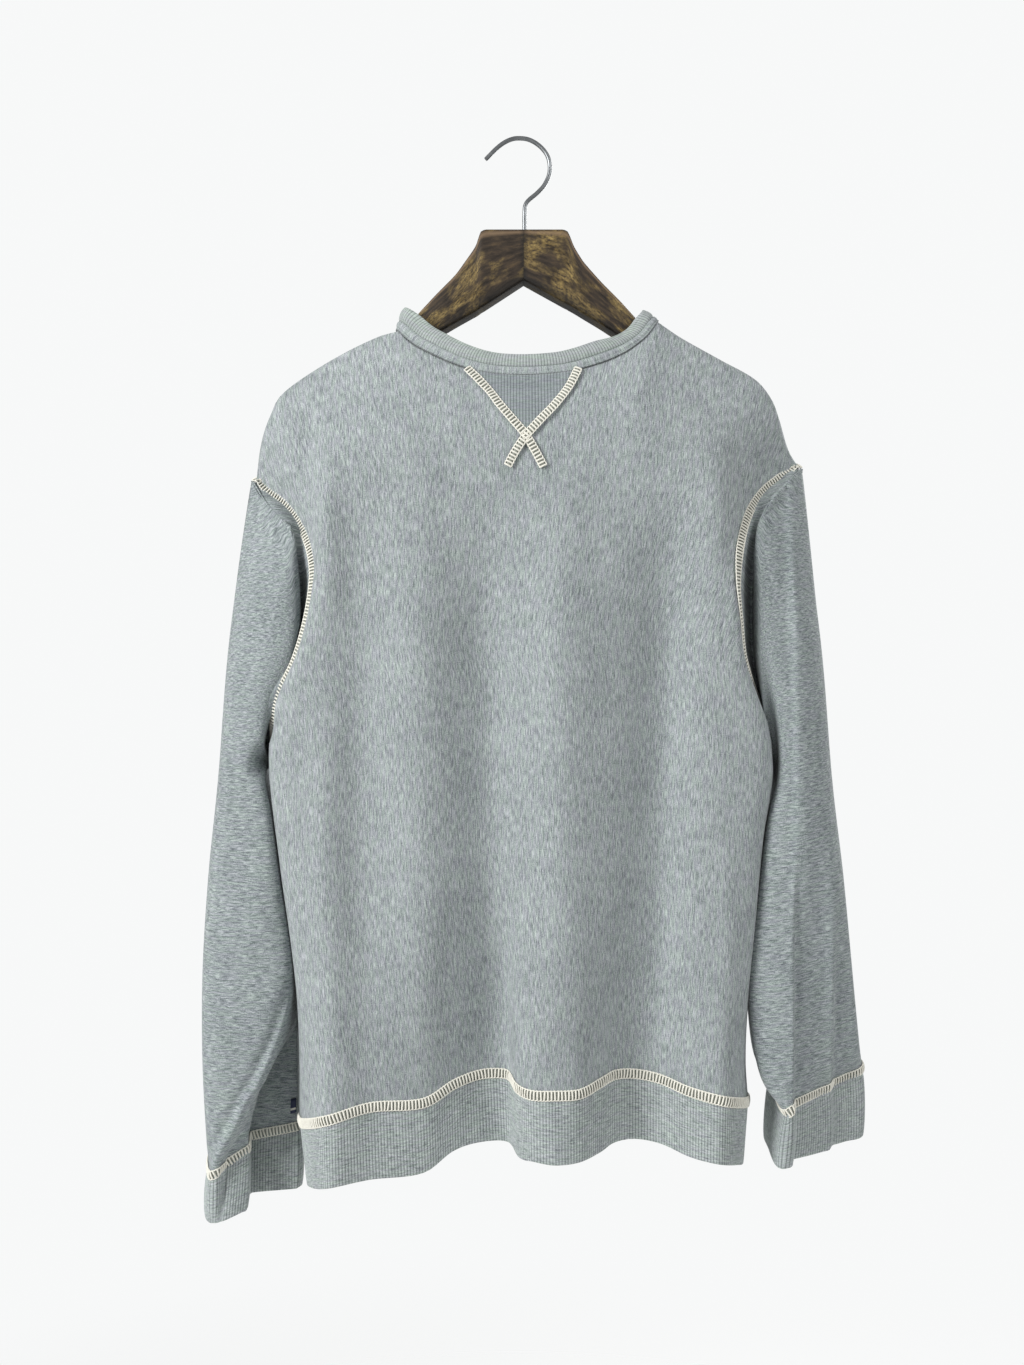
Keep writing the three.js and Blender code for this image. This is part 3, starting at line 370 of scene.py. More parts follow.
back_grid = back_surface(BACK_COLUMNS, ROWS)
hollow = dent_depth(UNDER_NECK_DENT, back_grid[..., 0], back_grid[..., 2])
back_grid[..., 1] += ease(np.arange(len(ROWS)) / CALM_ROWS)[:, None] * hollow
front_grid = front_surface(FRONT_COLUMNS, ROWS)
shoulder = np.arange(1, SHOULDER_COLUMNS)
open_seam = np.linalg.norm(back_grid[0, shoulder] - front_grid[0, -1 - shoulder], axis=1).max()
open_side = np.linalg.norm(back_grid[:, 0] - front_grid[:, -1], axis=1)[ARMHOLE_ROWS:].max()
print("grid of one panel:", back_grid.shape[:2], "and the widest gaps at its seams:",
      round(open_seam, 3), round(open_side, 3), "mm")

# %% [markdown]
# Two helpers serve every piece of cloth. `normals_of` finds which way a grid of points faces.
# `shell` turns rows of points into one closed mesh: the rows go down the outside, round the
# edge and up the inside, so the cloth has its real thickness everywhere.


# %% Shells of cloth
def normals_of(grid, loop=False, flip=False):
    down = np.gradient(grid, axis=0)
    if loop:
        across = np.roll(grid, -1, axis=1) - np.roll(grid, 1, axis=1)
    else:
        across = np.gradient(grid, axis=1)
    normals = unit(np.cross(down, across))
    return -normals if flip else normals


def mesh_object(name, points, faces, corner_uv=None):
    mesh = bpy.data.meshes.new(name)
    mesh.from_pydata((np.asarray(points) * MM).tolist(), [], np.asarray(faces).tolist())
    if corner_uv is not None:
        layer = mesh.uv_layers.new(name="knit")
        layer.data.foreach_set("uv", np.asarray(corner_uv, np.float32).ravel())
    mesh.shade_smooth()
    mesh.validate()
    made = bpy.data.objects.new(name, mesh)
    bpy.context.collection.objects.link(made)
    return made


def shell(name, profile, uv, loop=False):
    rows, columns = profile.shape[:2]
    spans = columns if loop else columns - 1
    j, i = np.meshgrid(np.arange(rows), np.arange(spans), indexing="ij")
    turn = [(0, 0), (1, 0), (1, 1), (0, 1)]
    faces = np.stack([(j + dj) % rows * columns + (i + di) % columns for dj, di in turn], -1)
    corner_uv = np.stack([uv[(j + dj) % rows, i + di] for dj, di in turn], 2)
    faces = faces.reshape(-1, 4)
    corner_uv = corner_uv.reshape(-1, 4, 2)
    if not loop:
        k = np.arange(rows // 2 - 1)
        opposite = rows - 1 - k
        start = np.stack([k, opposite, opposite - 1, k + 1], -1)
        ends = [start * columns, (start * columns + columns - 1)[:, ::-1]]
        faces = np.concatenate([faces, *ends])
        flat_uv = np.concatenate([uv[start, 0], uv[start, columns - 1][:, ::-1]])
        corner_uv = np.concatenate([corner_uv, flat_uv])
    points = profile.reshape(-1, 3)
    a, b, c, d = (points[faces[:, n]] for n in range(4))
    volume = (np.einsum("ij,ij->", a, np.cross(b, c)) + np.einsum("ij,ij->", a, np.cross(c, d))) / 6
    if volume < 0:
        faces, corner_uv = faces[:, ::-1], corner_uv[:, ::-1]
    return mesh_object(name, points, faces, corner_uv)


def uv_for(outer_uv, profile_rows):
    inner_rows = profile_rows - len(outer_uv)
    return np.concatenate([outer_uv, outer_uv[::-1][:inner_rows]])


print("helpers for cloth are ready")

# %% [markdown]
# The body is cut so that the streaks of its heather run up and down. Its UV map is therefore
# laid out in real metres: v is the height, and u is the way to the left or right of the middle,
# half measured along the cloth and half straight across. The streaks draw together a little
# below the shoulders, as they do where the cloth hangs from two points. One fault is left: the
# far panel's grid runs from right to left, so there the two halves of u nearly cancel, and its
# streaks are smeared into wide bands.

# %% Back and front panels
CLOTH = 2.0
STRAIGHT = 0.5                    # how far the streaks ignore the depth of the folds
LEAN = 0.3                        # how far the streaks draw together from top to bottom
LEAN_TOP = -160                   # the height, in millimetres, below which they do it
LEAN_REACH = 160                  # and over how many millimetres


def panel_uv(grid):
    steps = np.linalg.norm(np.diff(grid[..., :2], axis=1), axis=2)
    u = np.concatenate([np.zeros((len(grid), 1)), np.cumsum(steps, axis=1)], axis=1)
    middle_column = grid.shape[1] // 2
    u = u - u[:, middle_column:middle_column + 1]
    u = mix(u, grid[..., 0] - grid[:, middle_column:middle_column + 1, 0], STRAIGHT)
    below = np.maximum(0, LEAN_TOP - grid[..., 2])
    u = u * np.exp(LEAN * (1 - np.exp(-below / LEAN_REACH)))
    return np.stack([u, grid[..., 2]], -1) * MM


def panel_shell(name, grid):
    inner = grid - normals_of(grid) * CLOTH
    profile = np.concatenate([grid, inner[::-1]])
    return shell(name, profile, uv_for(panel_uv(grid), len(profile)))


back_panel = panel_shell("back_panel_cloth", back_grid)
front_panel = panel_shell("front_panel_cloth", front_grid)
back_normals = normals_of(back_grid)
front_normals = normals_of(front_grid)
print("faces in a panel:", len(back_panel.data.polygons))

# %% [markdown]
# A sleeve starts on the armhole, a closed loop of panel points, and hangs through a few rings.
# Beside the seam the cloth first drops into a narrow valley and then turns over in a fold that
# hangs a little in front of it; one table follows each, with a row for each row of the armhole.
# Below them each row of a table is one ring: the heights of its outer and inner ends, how much
# it tilts from front to back, and eight places round it, from the outer end by the viewer's
# side to the inner end and back behind.

# %% The sleeves' rings
VALLEY_LEFT = [
    [-222, 1, -291], [-210, -13, -306], [-197, -26, -319], [-184, -34, -335],
    [-180, -25, -358], [-180, -13, -380], [-181, -10, -410], [-190, -12, -440],
    [-204, -14, -470], [-210, -10, -494], [-211, 0, -514],
]
FOLD_LEFT = [
    [-226, 1, -297], [-215, -12, -315], [-203, -25, -331], [-187, -35, -343],
    [-183, -37, -366], [-180, -36, -392], [-180, -37, -420], [-188, -38, -450],
    [-207, -36, -480], [-215, -28, -503], [-211, -3, -522],
]
VALLEY_RIGHT = [
    [240, 1, -281], [227, -14, -292], [212, -26, -308], [201, -27, -330], [197, -18, -352],
    [197, -9, -380], [197, -8, -410], [199, -8, -440], [206, -8, -473], [212, -6, -494],
    [216, 0, -514],
]
FOLD_RIGHT = [
    [243, 1, -288], [230, -15, -300], [212, -28, -317], [201, -34, -335], [197, -36, -360],
    [197, -37, -390], [197, -38, -420], [198, -38, -450], [202, -34, -480], [208, -26, -500],
    [214, 0, -520],
]
RING_BOW = 1.3                    # a ring's sides keep nearer the height of its outer end
EVEN_RING = 3                     # from this ring down, the columns are evenly spaced

SLEEVE_LEFT = [
    (-412, -545, 0, [[-242, 2], [-226, -30], [-204, -41], [-209, -24], [-213, 3], [-214, 22],
                     [-213, 36], [-229, 26]]),
    (-540, -566, 0.1, [[-252, 2], [-243, -27], [-222, -37], [-202, -33], [-209, 4], [-209, 27],
                       [-223, 41], [-243, 27]]),
    (-620, -620, 0.1, [[-260, 2], [-250, -27], [-225, -37], [-195, -34], [-200, 4], [-203, 28],
                       [-223, 44], [-249, 30]]),
    (-700, -700, 0.1, [[-264, 2], [-255, -28], [-225, -37], [-187, -33], [-187, 0], [-191, 27],
                       [-217, 44], [-251, 30]]),
    (-775, -770, 0.15, [[-263, 2], [-257, -28], [-236, -37], [-205, -31], [-187, 6], [-189, 28],
                        [-215, 43], [-250, 28]]),
    (-860, -838, 0.15, [[-259, 0], [-253, -27], [-240, -36], [-220, -24], [-187, 8], [-189, 25],
                        [-214, 38], [-247, 22]]),
]
CUFF_LEFT_EDGE = (-902, -889, 0.05, [[-262, 0], [-255, -27], [-241, -36], [-220, -25], [-187, 6],
                                     [-188, 24], [-214, 37], [-248, 22]])
SLEEVE_RIGHT = [
    (-412, -547, 0, [[256, 2], [240, -30], [213, -42], [216, -23], [219, 5], [218, 25],
                     [219, 37], [240, 27]]),
    (-540, -568, 0.1, [[267, 2], [254, -31], [229, -43], [207, -36], [215, 6], [217, 28],
                       [235, 42], [257, 28]]),
    (-620, -620, 0.1, [[276, 2], [262, -33], [229, -43], [200, -36], [206, 6], [209, 28],
                       [235, 44], [263, 29]]),
    (-700, -700, 0.1, [[284, 4], [269, -31], [229, -43], [192, -35], [196, 4], [203, 28],
                       [236, 44], [269, 31]]),
    (-765, -775, 0.15, [[292, 9], [272, -25], [228, -43], [201, -36], [203, 0], [206, 26],
                        [239, 42], [275, 33]]),
    (-791, -804, 0.2, [[297, 16], [269, -19], [230, -38], [219, -39], [218, -6], [219, 24],
                       [240, 40], [276, 34]]),
]
CUFF_RIGHT_EDGE = (-847, -850, 0.1, [[298, 16], [270, -18], [229, -38], [213, -39], [212, -6],
                                     [215, 23], [241, 38], [277, 33]])

# Down the left sleeve, x and z: the sewn ridge, and the line where the near cloth ends and the
# layer behind it shows. Between the two lies a narrow shelf, a little further back.
LEFT_RIDGE = [
    [-176, -700], [-181, -714], [-187, -731], [-194, -751], [-206, -776], [-211, -787],
    [-220, -799], [-231, -823], [-240, -837], [-247, -850], [-250, -862],
]
LEFT_FLAP = [
    [-171, -700], [-176, -714], [-183, -731], [-190, -751], [-202, -776], [-207, -787],
    [-214, -799], [-221, -823], [-224, -837], [-224, -850], [-223, -870], [-222, -920],
]
FLAP_STEP = 5
FLAP_TUCK = 9                     # how far the layer behind starts under the flap
FLAP_TUCK_REACH = 30
RIDGE_RISE = 4
RIDGE_WIDTH = 4
SHELF_DEPTH = 12
# Steps across the right sleeve: top x, top z, low x, low z, width, how far it falls back
RIGHT_STEPS = [
    [226, -560, 227, -1100, 5, 13],
    [263, -600, 266, -1100, 7, 9],
]


def ring_points(row, share):
    out_z, in_z, tilt, places = row
    xy = smooth_ring(places, share)
    inwards = ((1 - np.cos(2 * math.pi * share)) / 2) ** RING_BOW
    z = mix(out_z, in_z, inwards) + tilt * xy[:, 1]
    return np.column_stack([xy, z])


def armhole_loop(column):
    back_side = back_grid[:ARMHOLE_ROWS, column]
    front_side = front_grid[ARMHOLE_ROWS:0:-1, -1 - column if column >= 0 else 0]
    return np.concatenate([back_side, front_side])


left_loop = armhole_loop(0)
right_loop = armhole_loop(-1)
print("points round an armhole:", len(left_loop), len(right_loop))

# %% [markdown]
# Between the rings every column is one smooth line, so the sleeve is again a single grid. Its
# creases are pushed in on the viewer's side only. The heather of the sleeves runs round the
# arm, so u is the way round it and v is nearly the height. Beside the armhole v also grows with
# the depth, because the fold there lies on its side.

# %% Sleeves
SLEEVE_STEPS = [8, 8, 22, 32, 20, 20, 20, 22]
SLEEVE_LEFT_CREASES = [
    [-196, -560, -222, -700, 16, 12, -2],
]
SLEEVE_RIGHT_CREASES = [
    [226, -160, 229, -980, 3, 17, -5],
]
SLANT_LEFT = 0.0                  # how far the streaks climb across the arm
SLANT_RIGHT = 0.15
SEAM_TURN = 0.4                   # how far v grows with the depth beside the armhole
SEAM_TURN_FADES = 1.5             # rings below the armhole where that starts to fade away
CLOSING_COLUMNS = 4               # columns at the underarm over which u drops by a whole round


def beside_armhole(table, armhole, k, count):
    share = np.minimum(k, count - k) / ARMHOLE_ROWS
    points = smooth(shares_along(np.array(armhole, float)), np.array(table, float), share)
    return points * np.where(k <= ARMHOLE_ROWS, 1, FAR_DEPTH)[:, None] ** [0, 1, 0]


def sleeve_grid(loop, armhole, valley, fold, rings):
    count = len(loop)
    lengths = np.linalg.norm(np.roll(loop, -1, axis=0) - loop, axis=1)
    places = np.concatenate([[0], np.cumsum(lengths)])
    under = ARMHOLE_ROWS
    k = np.arange(count)
    shares = np.where(
        k <= under,
        0.5 * places[k] / places[under],
        0.5 + 0.5 * (places[k] - places[under]) / (places[-1] - places[under]))
    knots = [loop, beside_armhole(valley, armhole, k, count),
             beside_armhole(fold, armhole, k, count)]
    for n, row in enumerate(rings, 1):
        knots.append(ring_points(row, mix(shares, k / count, min(1, n / EVEN_RING))))
    knots = np.array(knots)
    at = np.concatenate([stretch + np.arange(steps) / steps
                         for stretch, steps in enumerate(SLEEVE_STEPS)] + [[len(knots) - 1]])
    flat = smooth(np.arange(len(knots)), knots.reshape(len(knots), -1), at)
    return flat.reshape(len(at), count, 3)


def crease_sleeve(grid, normals, creases):
    near = np.clip(-normals[..., 1] * 2, 0, 1)
    grid = grid.copy()
    grid[..., 1] += near * fold_depth(creases, grid[..., 0], grid[..., 2])
    return grid


def flap(points, near, end):
    x, z = points[..., 0], points[..., 2]
    ridge, edge = np.array(LEFT_RIDGE, float), np.array(LEFT_FLAP, float)
    from_ridge = x - np.interp(-z, -ridge[:, 1], ridge[:, 0])
    from_end = x - np.interp(-z, -edge[:, 1], edge[:, 0])
    sewn = near * (z < ridge[0, 1]) * ease((z - ridge[-1, 1]) / RIDGE_WIDTH + 1)
    bump = np.exp(-((from_ridge / RIDGE_WIDTH) ** 2))
    groove = np.exp(-(((from_ridge + 2 * RIDGE_WIDTH) / RIDGE_WIDTH) ** 2))
    shelf = ease((from_ridge - RIDGE_WIDTH) / FLAP_STEP)
    lifted = RIDGE_RISE * (0.5 * groove - bump) + SHELF_DEPTH * shelf
    behind = ease(from_end / FLAP_STEP) * near * (z < edge[0, 1])
    points[..., 1] = mix(points[..., 1] + lifted * sewn, end[..., 1], behind)
    tucked = behind * (1 - ease(from_end / FLAP_TUCK_REACH)) * ease((end[..., 0] - x) / 12)
    points[..., 0] -= FLAP_TUCK * tucked


def stepped(points, near, outer_x):
    x, z = points[..., 0], points[..., 2]
    for top_x, top_z, low_x, low_z, width, fall in RIGHT_STEPS:
        along = (z - top_z) / (low_z - top_z)
        beyond = ease((x - mix(top_x, low_x, along)) / width + 0.5)
        towards_end = ease((outer_x - x) / (outer_x - low_x) * 1.6)
        points[..., 1] += fall * beyond * towards_end * ease(along * FADE) * near


def sleeve_uv(grid, slant):
    steps = np.linalg.norm(np.roll(grid, -1, axis=1) - grid, axis=2)
    u = np.concatenate([np.zeros((len(grid), 1)), np.cumsum(steps, axis=1)], axis=1)
    u[:, ARMHOLE_ROWS + 1:] -= u[:, -1:] * ease(np.arange(1, ARMHOLE_ROWS + 1) / CLOSING_COLUMNS)
    closed = np.concatenate([grid, grid[:, :1]], axis=1)
    beside_seam = 1 - ease(np.arange(len(grid)) / SLEEVE_STEPS[0] - SEAM_TURN_FADES)
    v = (closed[..., 2] - slant * closed[..., 0]
         + SEAM_TURN * beside_seam[:, None] * closed[..., 1])
    return np.stack([u, v], -1) * MM


def sleeve_shell(name, grid, flip, slant):
    normals = normals_of(grid, loop=True, flip=flip)
    inner = grid - normals * CLOTH
    profile = np.concatenate([grid, inner[::-1]])
    return shell(name, profile, uv_for(sleeve_uv(grid, slant), len(profile)), loop=True)


left_grid = sleeve_grid(left_loop, ARMHOLE_LEFT, VALLEY_LEFT, FOLD_LEFT, SLEEVE_LEFT)
near_half = np.arange(len(left_loop)) <= ARMHOLE_ROWS
left_grid[..., 1] += near_half * dent_depth(UNDERARM_DENT, left_grid[..., 0], left_grid[..., 2])
flap(left_grid, near_half, left_grid[:, ARMHOLE_ROWS:ARMHOLE_ROWS + 1].copy())
left_grid = crease_sleeve(left_grid, normals_of(left_grid, True), SLEEVE_LEFT_CREASES)
right_grid = sleeve_grid(right_loop, ARMHOLE_RIGHT, VALLEY_RIGHT, FOLD_RIGHT, SLEEVE_RIGHT)
stepped(right_grid, near_half, right_grid[:, :1, 0])
right_grid = crease_sleeve(right_grid, normals_of(right_grid, True, True), SLEEVE_RIGHT_CREASES)
sleeve_left = sleeve_shell("sleeve_left_cloth", left_grid, False, SLANT_LEFT)
sleeve_right = sleeve_shell("sleeve_right_cloth", right_grid, True, SLANT_RIGHT)
print("faces in a sleeve:", len(sleeve_left.data.polygons))

# %% [markdown]
# Hem, cuffs and neck are ribbing: knitted so that every other wale stands out. Each rib is one
# small wave in the grid's columns, over a plain inside. The real pitch is two millimetres; it is
# drawn at two and a half, because finer ribs melt into a grey from a metre away.
# The band's free edge is folded cloth, so a half circle of rows rolls from outside to inside.

# %% Ribbed bands
RIB_PITCH = 2.5
RIB_RISE = 0.35
RIB_CLOTH = 2.4
RIB_WAVE = np.array([0, 0.7, 1, 0.7])
RIB_GROWS = 6                     # a rib reaches its full rise in a sixth of the band's height
RIB_SHRINKS = 10                  # and sinks as steeply as this near the free edge,
RIB_AT_EDGE = 0.35                # where this share of its rise is left
ROLL = np.radians([30, 75, 105, 150])
BAND_ROWS = 12
CUFF_BULGE = 1.5


def even_places(points, count):
    closed = np.vstack([points, points[:1]])
    places = shares_along(closed) * count
    return np.interp(np.arange(count), places, np.arange(len(closed)))


def read_ring(values, places):
    closed = np.vstack([values, values[:1]])
    first = np.floor(places).astype(int) % len(values)
    part = (places - np.floor(places))[:, None]
    return closed[first] * (1 - part) + closed[first + 1] * part


def ribbed_band(name, seam, normals, edge, rows, bulge=0.0):
    length = np.linalg.norm(np.roll(seam, -1, axis=0) - seam, axis=1).sum()
    ribs = round(length / RIB_PITCH)
    places = even_places(seam, ribs * len(RIB_WAVE))
    start, finish = read_ring(seam, places), read_ring(edge, places)
    out = unit(read_ring(normals, places))
    wave = np.tile(RIB_WAVE, ribs)[:, None] * RIB_RISE
    levels = np.linspace(0, 1, rows)
    outer, inner = [], []
    for level in levels:
        base = mix(start, finish, level) + out * (bulge * 4 * level * (1 - level))
        taper = min(1.0, RIB_GROWS * level, RIB_SHRINKS * (1 - level) + RIB_AT_EDGE)
        outer.append(base + out * wave * taper)
        inner.append(base - out * RIB_CLOTH)
    middle_edge = (outer[-1] + inner[-1]) / 2
    half = (outer[-1] - inner[-1]) / 2
    down = unit(finish - start) * RIB_CLOTH * 0.5
    roll = [middle_edge + half * np.cos(angle) + down * np.sin(angle) for angle in ROLL]
    profile = np.array(outer + roll + inner[::-1])
    u = np.arange(len(places) + 1) * RIB_PITCH / len(RIB_WAVE)
    height = np.linalg.norm(finish - start, axis=1).mean()
    v = np.concatenate([levels, np.full(len(roll), 1.0), levels[::-1]]) * height
    uv = np.stack(np.meshgrid(u, v), -1) * MM
    return shell(name, profile, uv, loop=True)


hem_seam = np.concatenate([back_grid[-1, :-1], front_grid[-1, :-1]])
hem_normals = np.concatenate([back_normals[-1, :-1], front_normals[-1, :-1]])
hem_edge = np.concatenate([line(BACK_HEM_EDGE)(BACK_COLUMNS[:-1]),
                           line(FRONT_HEM_EDGE)(FRONT_COLUMNS[:-1])])
hem = ribbed_band("hem_ribbing", hem_seam, hem_normals, hem_edge, BAND_ROWS)


def cuff(name, grid, flip, edge):
    normals = normals_of(grid, True, flip)[-1]
    return ribbed_band(name, grid[-1], normals, edge, BAND_ROWS, bulge=CUFF_BULGE)


round_cuff = np.arange(len(left_loop)) / len(left_loop)
cuff_left_edge = ring_points(CUFF_LEFT_EDGE, round_cuff)
flap(cuff_left_edge, near_half, cuff_left_edge[ARMHOLE_ROWS].copy())
cuff_right_edge = ring_points(CUFF_RIGHT_EDGE, round_cuff)
stepped(cuff_right_edge, near_half, cuff_right_edge[0, 0])
cuff_left = cuff("cuff_left_ribbing", left_grid, False, cuff_left_edge)
cuff_right = cuff("cuff_right_ribbing", right_grid, True, cuff_right_edge)
print("faces in the hem:", len(hem.data.polygons))

# %% [markdown]
# The neckband has two strips. The lower one is smooth cloth over the seam, stitched down along
# both sides, and the upper one is ribbing folded double. Both stand square to the neck's seam
# and lean in, and near the right shoulder the band folds outwards, so it is lower there.

# %% Neckband
NECK_HEIGHT = 18                  # from the seam to the upper edge, in millimetres
BINDING_SHARE = 0.42              # where the ribbing starts, as a share of that height
BINDING_HEIGHT = 8
NECK_LEAN = 5
FOLDED_FROM = 70                  # x from which the band folds outwards
FOLDED_OVER = 45
FOLDED_HEIGHT = 0.5               # times its height elsewhere
FOLDED_LEAN = 2                   # times its lean elsewhere
NECK_MIDDLE_X = 9
NECK_OVAL = 3                     # the opening is wide and shallow, so depth counts threefold
NECK_TILT = 8                     # how far the binding faces up as well as out
NECK_RIB_ROWS = 10
NECK_BULGE = 1.2

neck = slice(SHOULDER_COLUMNS, SHOULDER_COLUMNS + NECK_COLUMNS)
neck_seam = np.concatenate([back_grid[0, neck], front_grid[0, neck]])
seam_way = unit(np.roll(neck_seam, -1, axis=0) - np.roll(neck_seam, 1, axis=0))
neck_up = unit(np.array([0, 0, 1]) - seam_way * seam_way[:, 2:])
folded = ease((neck_seam[:, :1] - FOLDED_FROM) / FOLDED_OVER)
neck_away = (neck_seam - [NECK_MIDDLE_X, 0, 0]) * [1, NECK_OVAL, 0]
neck_rise = (neck_up * NECK_HEIGHT * mix(1, FOLDED_HEIGHT, folded)
             - unit(neck_away) * NECK_LEAN * mix(1, FOLDED_LEAN, folded))
neck_normals = unit(neck_away + [0, 0, NECK_TILT])

# Share of the neckband's height, and how far the strip stands out there: a padded strip, a
# groove under the lower row of stitches, and a thin lip on the panel
BINDING_PROFILE = [
    [0.43, -0.8], [0.42, 0.5], [0.37, 1.5], [0.28, 1.9], [0.2, 1.5], [0.14, 0.7],
    [0.09, 1.3], [0.03, 1.3], [0.0, -0.2],
]


def neck_ring(share, height):
    return neck_seam + neck_rise * share + neck_normals * height


def ring_uv(profile, height_mm):
    rows, columns = profile.shape[:2]
    steps = np.linalg.norm(np.roll(profile[0], -1, axis=0) - profile[0], axis=1).sum()
    u = np.linspace(0, steps, columns + 1)
    v = np.abs(np.linspace(-height_mm, height_mm, rows))
    return np.stack(np.meshgrid(u, v), -1) * MM


binding_rows = [neck_ring(share, height) for share, height in BINDING_PROFILE]
binding_rows += [neck_ring(share, -CLOTH) for share, height in reversed(BINDING_PROFILE)]
binding_profile = np.array(binding_rows)
neck_binding = shell("neck_binding_cloth", binding_profile,
                     ring_uv(binding_profile, BINDING_HEIGHT), loop=True)
neck_rib = ribbed_band("neck_ribbing", neck_ring(BINDING_SHARE, 0.1), neck_normals,
                       neck_ring(1, 0), NECK_RIB_ROWS, bulge=NECK_BULGE)
round_neck = np.linalg.norm(np.roll(neck_seam, -1, axis=0) - neck_seam, axis=1).sum()
print("round the neck:", round(round_neck), "mm")

# %% [markdown]
# Some pieces lie on the near panel: the ribbed triangle under the neck and the stitched bands
# along its sides. They are placed by x and z alone. A ray along +Y finds the cloth under each
# point, and the way it faces there.

# %% What lies on the near panel
BEFORE_IT_ALL = -300              # y from which the rays start
USUAL_DEPTH = -40                 # y where a ray that misses looks for the nearest cloth
columns = back_grid.shape[1]
quads = [
    [j * columns + i, (j + 1) * columns + i, (j + 1) * columns + i + 1, j * columns + i + 1]
    for j in range(back_grid.shape[0] - 1) for i in range(columns - 1)
]
near_panel = BVHTree.FromPolygons([Vector(p) for p in back_grid.reshape(-1, 3)], quads)


def on_near_panel(x, z):
    place, normal, _, _ = near_panel.ray_cast(Vector((x, BEFORE_IT_ALL, z)), Vector((0, 1, 0)))
    if place is None:
        place, normal, _, _ = near_panel.find_nearest(Vector((x, USUAL_DEPTH, z)))
    if normal.y > 0:
        normal = -normal
    return np.array(place), np.array(normal)


V_LEFT = [[-40, -204], [-25.6, -219.5], [-13.5, -235.8], [-1.4, -250.3], [6.7, -261.5]]
V_RIGHT = [[50, -205], [41.5, -222], [31, -235.8], [18.9, -248.7], [6.7, -261.5]]
V_THICK = 0.8
V_LIFT = 0.3
V_ROWS = 26
V_COLUMNS = 210
V_END = 0.985                     # it stops just above the point, under the crossed bands
V_TOP_DIP = 5.5                   # its upper edge hangs down with the neck's seam


def triangle_layer(lift, ribbed):
    left = line([[x, 0, z] for x, z in V_LEFT])
    right = line([[x, 0, z] for x, z in V_RIGHT])
    rows = []
    for down in np.linspace(0, V_END, V_ROWS):
        a, b = left(np.array([down]))[0], right(np.array([down]))[0]
        row = []
        for across in np.linspace(0, 1, V_COLUMNS + 1):
            dip = V_TOP_DIP * math.sin(math.pi * across) * (1 - down)
            x, z = mix(a[0], b[0], across), mix(a[2], b[2], across) - dip
            place, normal = on_near_panel(x, z)
            wave = RIB_RISE * abs(math.sin(math.pi * x / RIB_PITCH)) if ribbed else 0
            row.append(place + normal * (lift + wave))
        rows.append(row)
    return np.array(rows)


triangle_outside = triangle_layer(V_LIFT + V_THICK, True)
triangle_inside = triangle_layer(V_LIFT, False)
triangle = np.concatenate([triangle_outside, triangle_inside[::-1]])
v_insert = shell("neck_triangle_ribbing", triangle,
                 uv_for(triangle[:V_ROWS, :, ::2] * MM, len(triangle)))
print("triangle under the neck:", len(v_insert.data.polygons), "faces")

# %% [markdown]
# The cream bands are a cover stitch: two rows of chain with thick thread laid to and fro
# between them, like a ladder. What repeats along a path is work for Geometry Nodes. The path
# is a chain of points that carries two directions, across the band and out of the cloth, and
# the tree lays one rung on every step and a thread along each side.


# %% A tree that lays stitches along a path
def add(tree, kind, settings=None, inputs=None):
    made = tree.nodes.new(kind)
    for name, value in (settings or {}).items():
        setattr(made, name, value)
    for key, value in (inputs or {}).items():
        if isinstance(value, bpy.types.NodeSocket):
            tree.links.new(value, made.inputs[key])
        else:
            made.inputs[key].default_value = value
    return made


# In metres, apart from the unevenness, which is the turn of a rung in radians
STITCH_SIZES = {"Pitch": 0.0028, "Width": 0.007, "Thread": 0.0015, "Rise": 0.0006,
                "Side thread": 0.001, "Unevenness": 0.1}
SCALLOP = 0.00022                 # the side threads swing this far in and out at each rung


